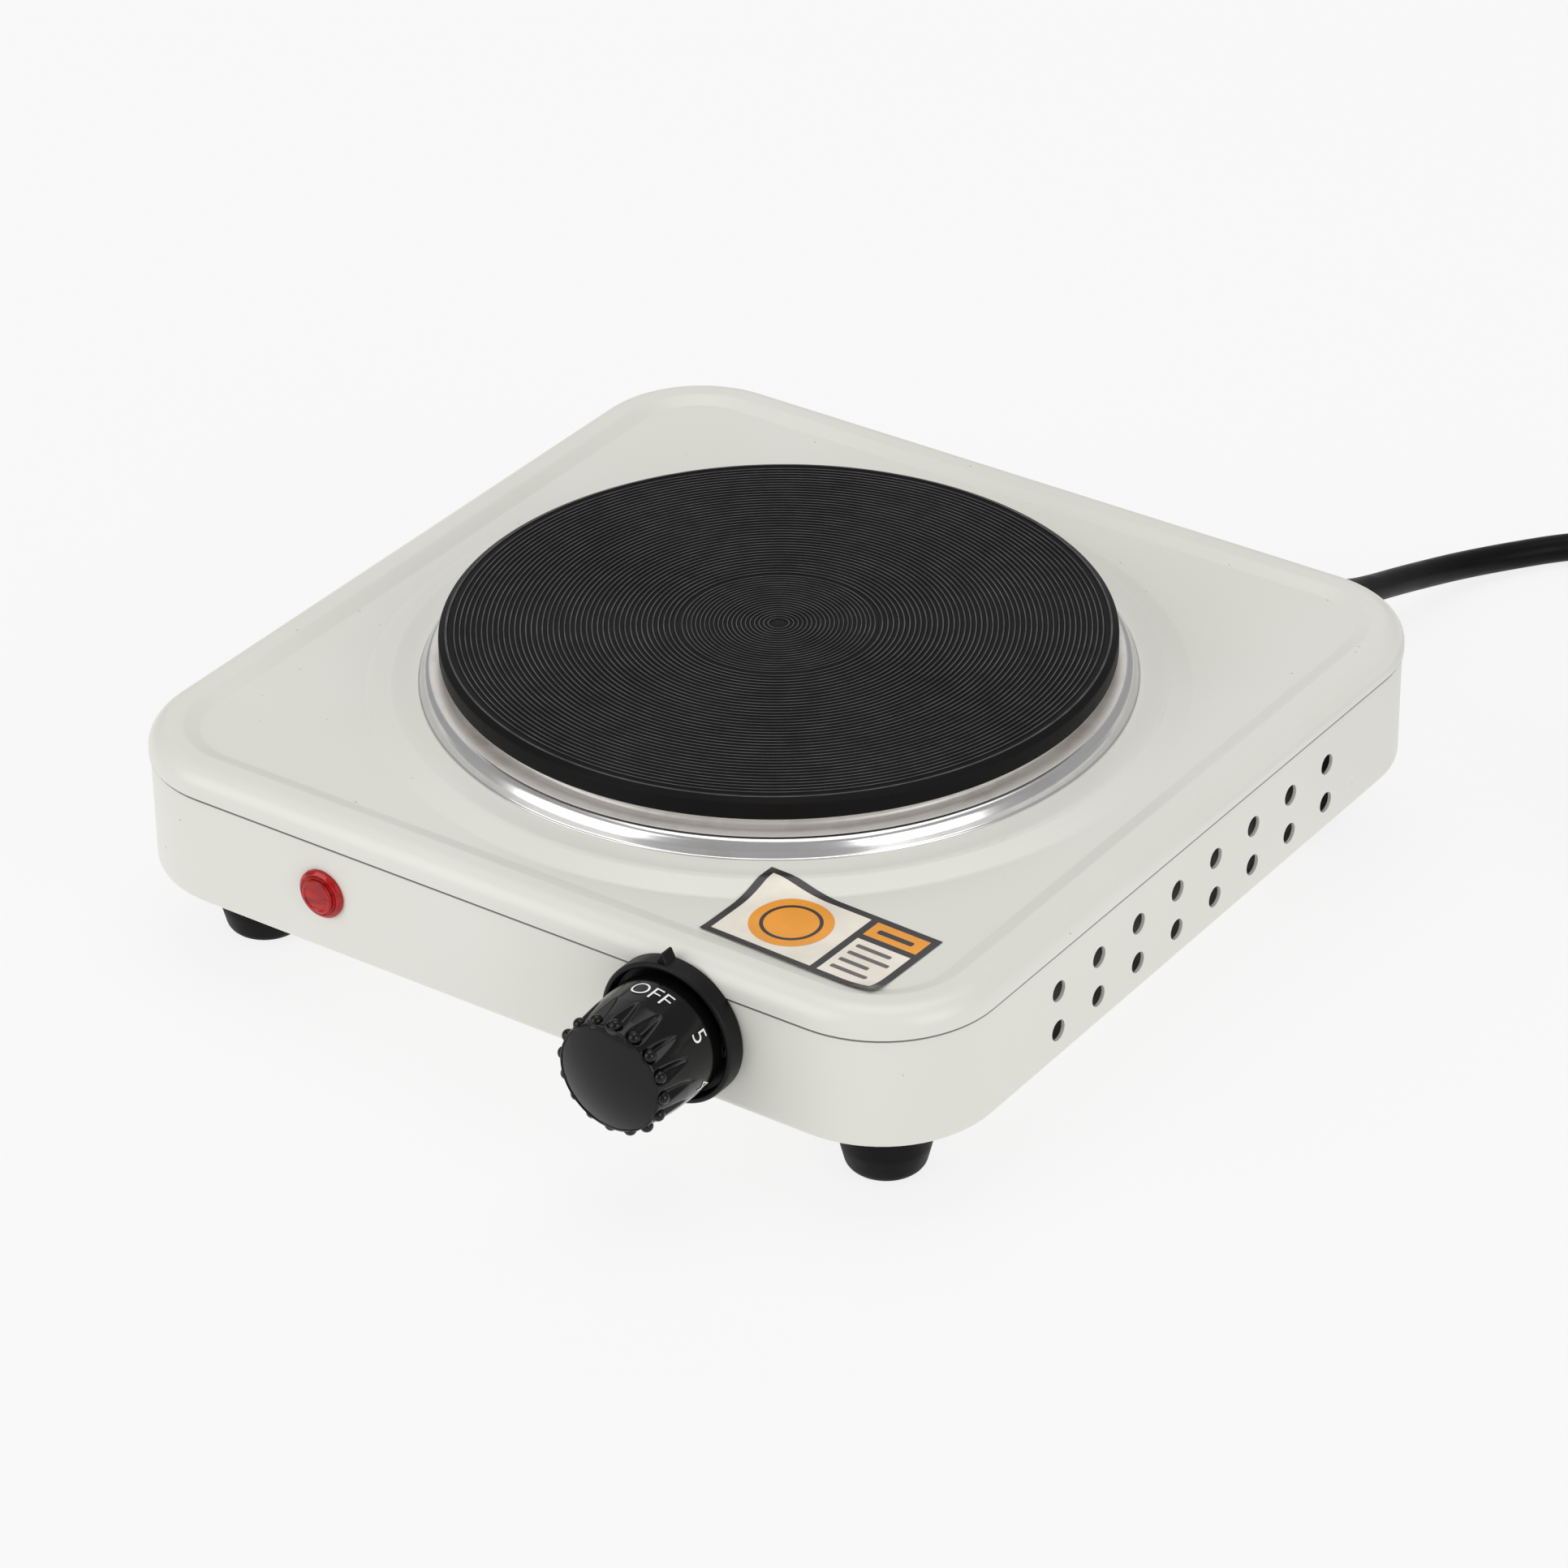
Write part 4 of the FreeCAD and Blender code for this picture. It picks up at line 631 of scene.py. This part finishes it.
def dial_marks():
    """The scale around the knob's skirt: off at the top, then 5 to 1 going clockwise."""
    skirt_radius = 14.38
    off_degrees, first_digit_degrees, degrees_apart = 86, 28.5, 50
    place = out_of_front(DIAL)
    marks = [("OFF", off_degrees, 4.2, 11.1)]
    for steps, digit in enumerate("54321"):
        marks.append((digit, first_digit_degrees - degrees_apart * steps, 4.3, 10.1))
    bm = bmesh.new()
    for word, degrees, tall, from_wall in marks:
        letters = flat_letters(word, tall, 0.06)
        long_edges = [edge for edge in letters.edges if edge.calc_length() > 0.6]
        bmesh.ops.subdivide_edges(letters, edges=long_edges, cuts=3)
        for vertex in letters.verts:
            angle = math.radians(degrees) - vertex.co.x / skirt_radius
            spot = Vector((skirt_radius * math.cos(angle), skirt_radius * math.sin(angle),
                           from_wall - vertex.co.y)) * MM
            vertex.co = place @ spot
        drawn = bpy.data.meshes.new("marks")
        letters.to_mesh(drawn)
        letters.free()
        bm.from_mesh(drawn)
        bpy.data.meshes.remove(drawn)
    piece("dial_scale", bm, ["dial_ink"], "dial")


def dial_bezel():
    """The cup around the knob, with its pointer, standing off the wall by the depth of the cover's skirt.
    """
    radius, depth, floor = 17.0, 5.0, 2.0
    skirt = 0.36
    corners = [
        (5.3, skirt, 0), (radius, skirt, 0), (radius, depth, 0.7), (radius - 1.3, depth, 0.45),
        (radius - 1.4, floor, 0.4), (5.3, floor, 0),
    ]
    bm = lathe(rounded_line(corners, 5, closed=True), 160, out_of_front(DIAL), closed=True)
    tip = [(-2.9, radius - 0.5), (0.1, radius - 0.5), (-1.15, radius + 2.1), (-1.65, radius + 2.1)]
    levels = ((skirt, 1.0), (depth - 1.5, 1.0), (depth - 1.1, 0.8))
    loops = []
    for height, share in levels:
        loops.append([bm.verts.new(out_of_front(DIAL) @ (Vector((
            (x + 1.4) * share - 1.4, radius + (y - radius) * share, height)) * MM)) for x, y in tip])
    bridged(bm, loops)
    bm.faces.new(loops[0])
    bm.faces.new(loops[-1])
    piece("dial_surround", bm, ["black_satin"], "case", ["dial_bezel"], 40)


def pilot_lens():
    """The red lens: a flanged rim, a moat and a raised button with a ring around its face."""
    corners = [
        (0.3, 1.2, 0), (4.0, 1.2, 0), (4.0, -9, 0), (4.9, -9, 0), (4.9, 0.02, 0), (5.9, 0.02, 0),
        (5.9, 0.8, 0.35), (5.1, 1.55, 0.4), (4.5, 1.25, 0.3), (4.15, 1.25, 0.15), (4.05, 2.3, 0.3),
        (3.5, 2.5, 0.25), (3.2, 2.15, 0.2), (2.6, 2.2, 0.3), (1.2, 2.3, 0.5), (0.3, 2.32, 0),
    ]
    bm = lathe(rounded_line(corners, 5), 96, out_of_front(LAMP))
    piece("lamp_lens", bm, ["red_lens"], "case", ["pilot_lens"], 60)


def feet():
    """Four tapered rubber feet with a screw recess in the middle."""
    for side in ("front_left", "front_right", "rear_left", "rear_right"):
        place = middle("foot_" + side)
        height = span("foot_" + side, 2) / MM
        corners = [
            (2.2, 9, 0), (4.3, 9, 0.2), (4.3, 0, 0.35), (8.7, 0, 2.9), (10.3, 6.5, 9), (11.7, height, 0),
            (2.2, height, 0),
        ]
        bm = lathe(rounded_line(corners, 6, closed=True), 96, upright_at(place.x, place.y), closed=True)
        piece("rubber_foot_" + side, bm, ["foot_rubber"], "case", ["foot_" + side], 40)


def relief_sleeve():
    """The rubber sleeve on the cord: a flange at the wall, then a taper with shallow rings."""
    length = 14.0
    exit_point = Vector(((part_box("cord_inner_end")[0][0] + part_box("cord_inner_end")[1][0]) / 2,
                         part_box("base_tray")[1][1], middle("cord_inner_end").z))
    place = Matrix.Translation(exit_point) @ Matrix.Rotation(-math.pi / 2, 4, "X")
    corners = [(3.55, -3.6, 0), (7.0, -3.6, 0), (7.0, -0.8, 0), (5.9, -0.8, 0), (5.9, 0.02, 0),
               (7.4, 0.02, 0), (7.4, 2.4, 0.5), (6.4, 3.2, 0.4)]
    for ring in range(3):
        start = 5.0 + 2.9 * ring
        wide = 6.2 - 0.45 * ring
        corners += [(wide, start - 0.9, 0.25), (wide - 0.75, start - 0.5, 0.25),
                    (wide - 0.8, start + 0.6, 0.25), (wide - 0.1, start + 1.0, 0.25)]
    corners += [(4.6, length, 0.4), (3.55, length, 0)]
    bm = lathe(rounded_line(corners, 4, closed=True), 64, place, closed=True)
    piece("cord_sleeve", bm, ["cord_sheath"], "case", ["strain_relief"], 40)


# ---- Sticker ----


def lines_between(marks, gap):
    """The marks again, with even steps added so that none are further apart than the gap."""
    return [x for x, _ in filled_in([(mark, 0.0) for mark in marks], gap)]


class Sheet:
    """A thin sheet laid on the cover, slightly turned, with its front right corner a little loose."""

    def __init__(self, bm, half_x, half_y):
        low, high = (Vector(corner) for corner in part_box("front_label"))
        self.bm = bm
        self.centre = (low + high) / 2
        self.above = high.z + 0.01
        self.loose_corner = (half_x, -half_y)
        self.loose_reach, self.loose_lift = 9, 1.1
        self.turn = Matrix.Rotation(math.radians(-2), 2)

    def spot(self, x, y, lift_mm):
        """A vertex over (x, y) of the sheet in millimetres, this far above the cover, where the
        stiff sheet spans the hollows instead of following them."""
        loose = max(0.0, 1 - math.dist((x, y), self.loose_corner) / self.loose_reach)
        across, along = self.turn @ Vector((x, y))
        place = Vector((self.centre.x + across * MM, self.centre.y + along * MM, self.above))
        heights = []
        for step in (-3.0, -1.5, 0, 1.5, 3.0):
            start = place + Vector((0, step * MM, 0))
            heights.append(NODES["top_cover"].ray_cast(start, Vector((0, 0, -1)))[1].z)
        height = max(heights[2], sum(heights) / len(heights))
        return self.bm.verts.new((place.x, place.y, height + (lift_mm + self.loose_lift * loose ** 2) * MM))

    def patch(self, middle_x, middle_y, half_x, half_y, corner, lift_mm, look, shares):
        """A field of one colour with rounded corners, made of loops at shares of its size."""
        corners = [(-half_x, -half_y, corner), (half_x, -half_y, corner), (half_x, half_y, corner),
                   (-half_x, half_y, corner)]
        outline = [tuple(point) for point in rounded_line(corners, 10, closed=True)]
        outline = filled_in(outline + outline[:1], 1.0)[:-1]
        first = len(self.bm.faces)
        loops = [[self.spot(middle_x + x * share, middle_y + y * share, lift_mm) for x, y in outline]
                 for share in shares]
        bridged(self.bm, loops)
        if shares[-1] < 0.3:
            self.bm.faces.new(loops[-1])
        self.bm.faces.ensure_lookup_table()
        for face in self.bm.faces[first:]:
            face.material_index = look


def sticker():
    """A blank sticker in plain fields of colour: ink lines, cream fields and amber ones."""
    half_x, half_y, border, divide, shelf = 22.75, 13.0, 1.8, 6.2, 4.6
    ink, film, amber, grey = range(4)
    bm = bmesh.new()
    sheet = Sheet(bm, half_x, half_y)
    inner_x, inner_y, line = half_x - border, half_y - border, border / 2
    across = lines_between([-half_x, -inner_x, divide - line, divide + line, inner_x, half_x], 0.75)
    along = lines_between([-half_y, -inner_y, shelf - line, shelf + line, inner_y, half_y], 0.75)

    def field(x, y):
        """Which colour the sheet has at a place."""
        if abs(x) > inner_x or abs(y) > inner_y or abs(x - divide) < line:
            return ink
        if x < divide or y < shelf - line:
            return film
        return amber if y > shelf + line else ink

    grid = [[sheet.spot(x, y, 0.17) for x in across] for y in along]
    for row in range(len(along) - 1):
        for column in range(len(across) - 1):
            face = bm.faces.new((grid[row][column], grid[row][column + 1], grid[row + 1][column + 1],
                                 grid[row + 1][column]))
            x, y = (across[column] + across[column + 1]) / 2, (along[row] + along[row + 1]) / 2
            face.material_index = field(x, y)
    tenths = [step / 10 for step in range(10, 0, -1)]
    sheet.patch(-7.9, 0.1, 9.3, 9.3, 9.2, 0.21, amber, tenths)
    sheet.patch(-7.9, 0.1, 6.9, 6.9, 6.8, 0.25, ink, [1, 0.94, 0.88])
    sheet.patch(divide + 7.6, 8.2, 4.6, 0.75, 0.5, 0.21, ink, [1, 0.6, 0.2])
    for number, reach in enumerate((9.0, 10.6, 7.6, 9.4)):
        sheet.patch(divide + 2.4 + reach / 2, 1.2 - 3.1 * number, reach / 2, 0.6, 0.4, 0.21, grey,
                    [1, 0.6, 0.2])
    piece("front_sticker", bm, ["label_ink", "label_film", "label_amber", "label_grey"], "case",
          ["front_label"], 60)


# ---- Floor and light ----


def floor():
    """A plain pale floor, lit a little from within so that it stays even."""
    bm = bmesh.new()
    bmesh.ops.create_grid(bm, x_segments=1, y_segments=1, size=6)
    mesh = bpy.data.meshes.new("floor")
    bm.to_mesh(mesh)
    bm.free()
    item = bpy.data.objects.new("floor", mesh)
    bpy.context.scene.collection.objects.link(item)
    look = Look("floor", (0.1, 0.1, 0.1, 1), 0.9, Emission_Strength=0.83)
    look.set("Emission Color", (1, 1, 1, 1))
    mesh.materials.append(look.material)


def softbox(name, place, size, power, aim=(0, 0, 0.05)):
    """A square studio light that faces the object."""
    data = bpy.data.lights.new(name, "AREA")
    data.shape = "SQUARE"
    data.size = size
    data.energy = power
    item = bpy.data.objects.new(name, data)
    item.location = place
    item.rotation_euler = (Vector(aim) - Vector(place)).to_track_quat("-Z", "Y").to_euler()
    bpy.context.scene.collection.objects.link(item)


def studio():
    """A white world and four softboxes around the object."""
    world = bpy.data.worlds.new("studio")
    world.use_nodes = True
    world.node_tree.nodes["Background"].inputs["Color"].default_value = (1, 1, 1, 1)
    world.node_tree.nodes["Background"].inputs["Strength"].default_value = 0.4
    bpy.context.scene.world = world
    softbox("front_left_light", (-1.1, -1.9, 1.1), 1.9, 22)
    softbox("right_light", (2.0, -0.4, 0.9), 1.4, 15)
    softbox("top_light", (-0.1, 0.3, 2.4), 2.0, 19)
    softbox("back_light", (-1.9, 2.4, 1.5), 2.2, 6)
    view = bpy.context.scene.view_settings
    view.view_transform = "Standard"


camera()
power_cord()
floor()
studio()
dress_nodes()
heating_disc()
trim_ring()
control_knob()
dial_marks()
dial_bezel()
pilot_lens()
feet()
relief_sleeve()
sticker()
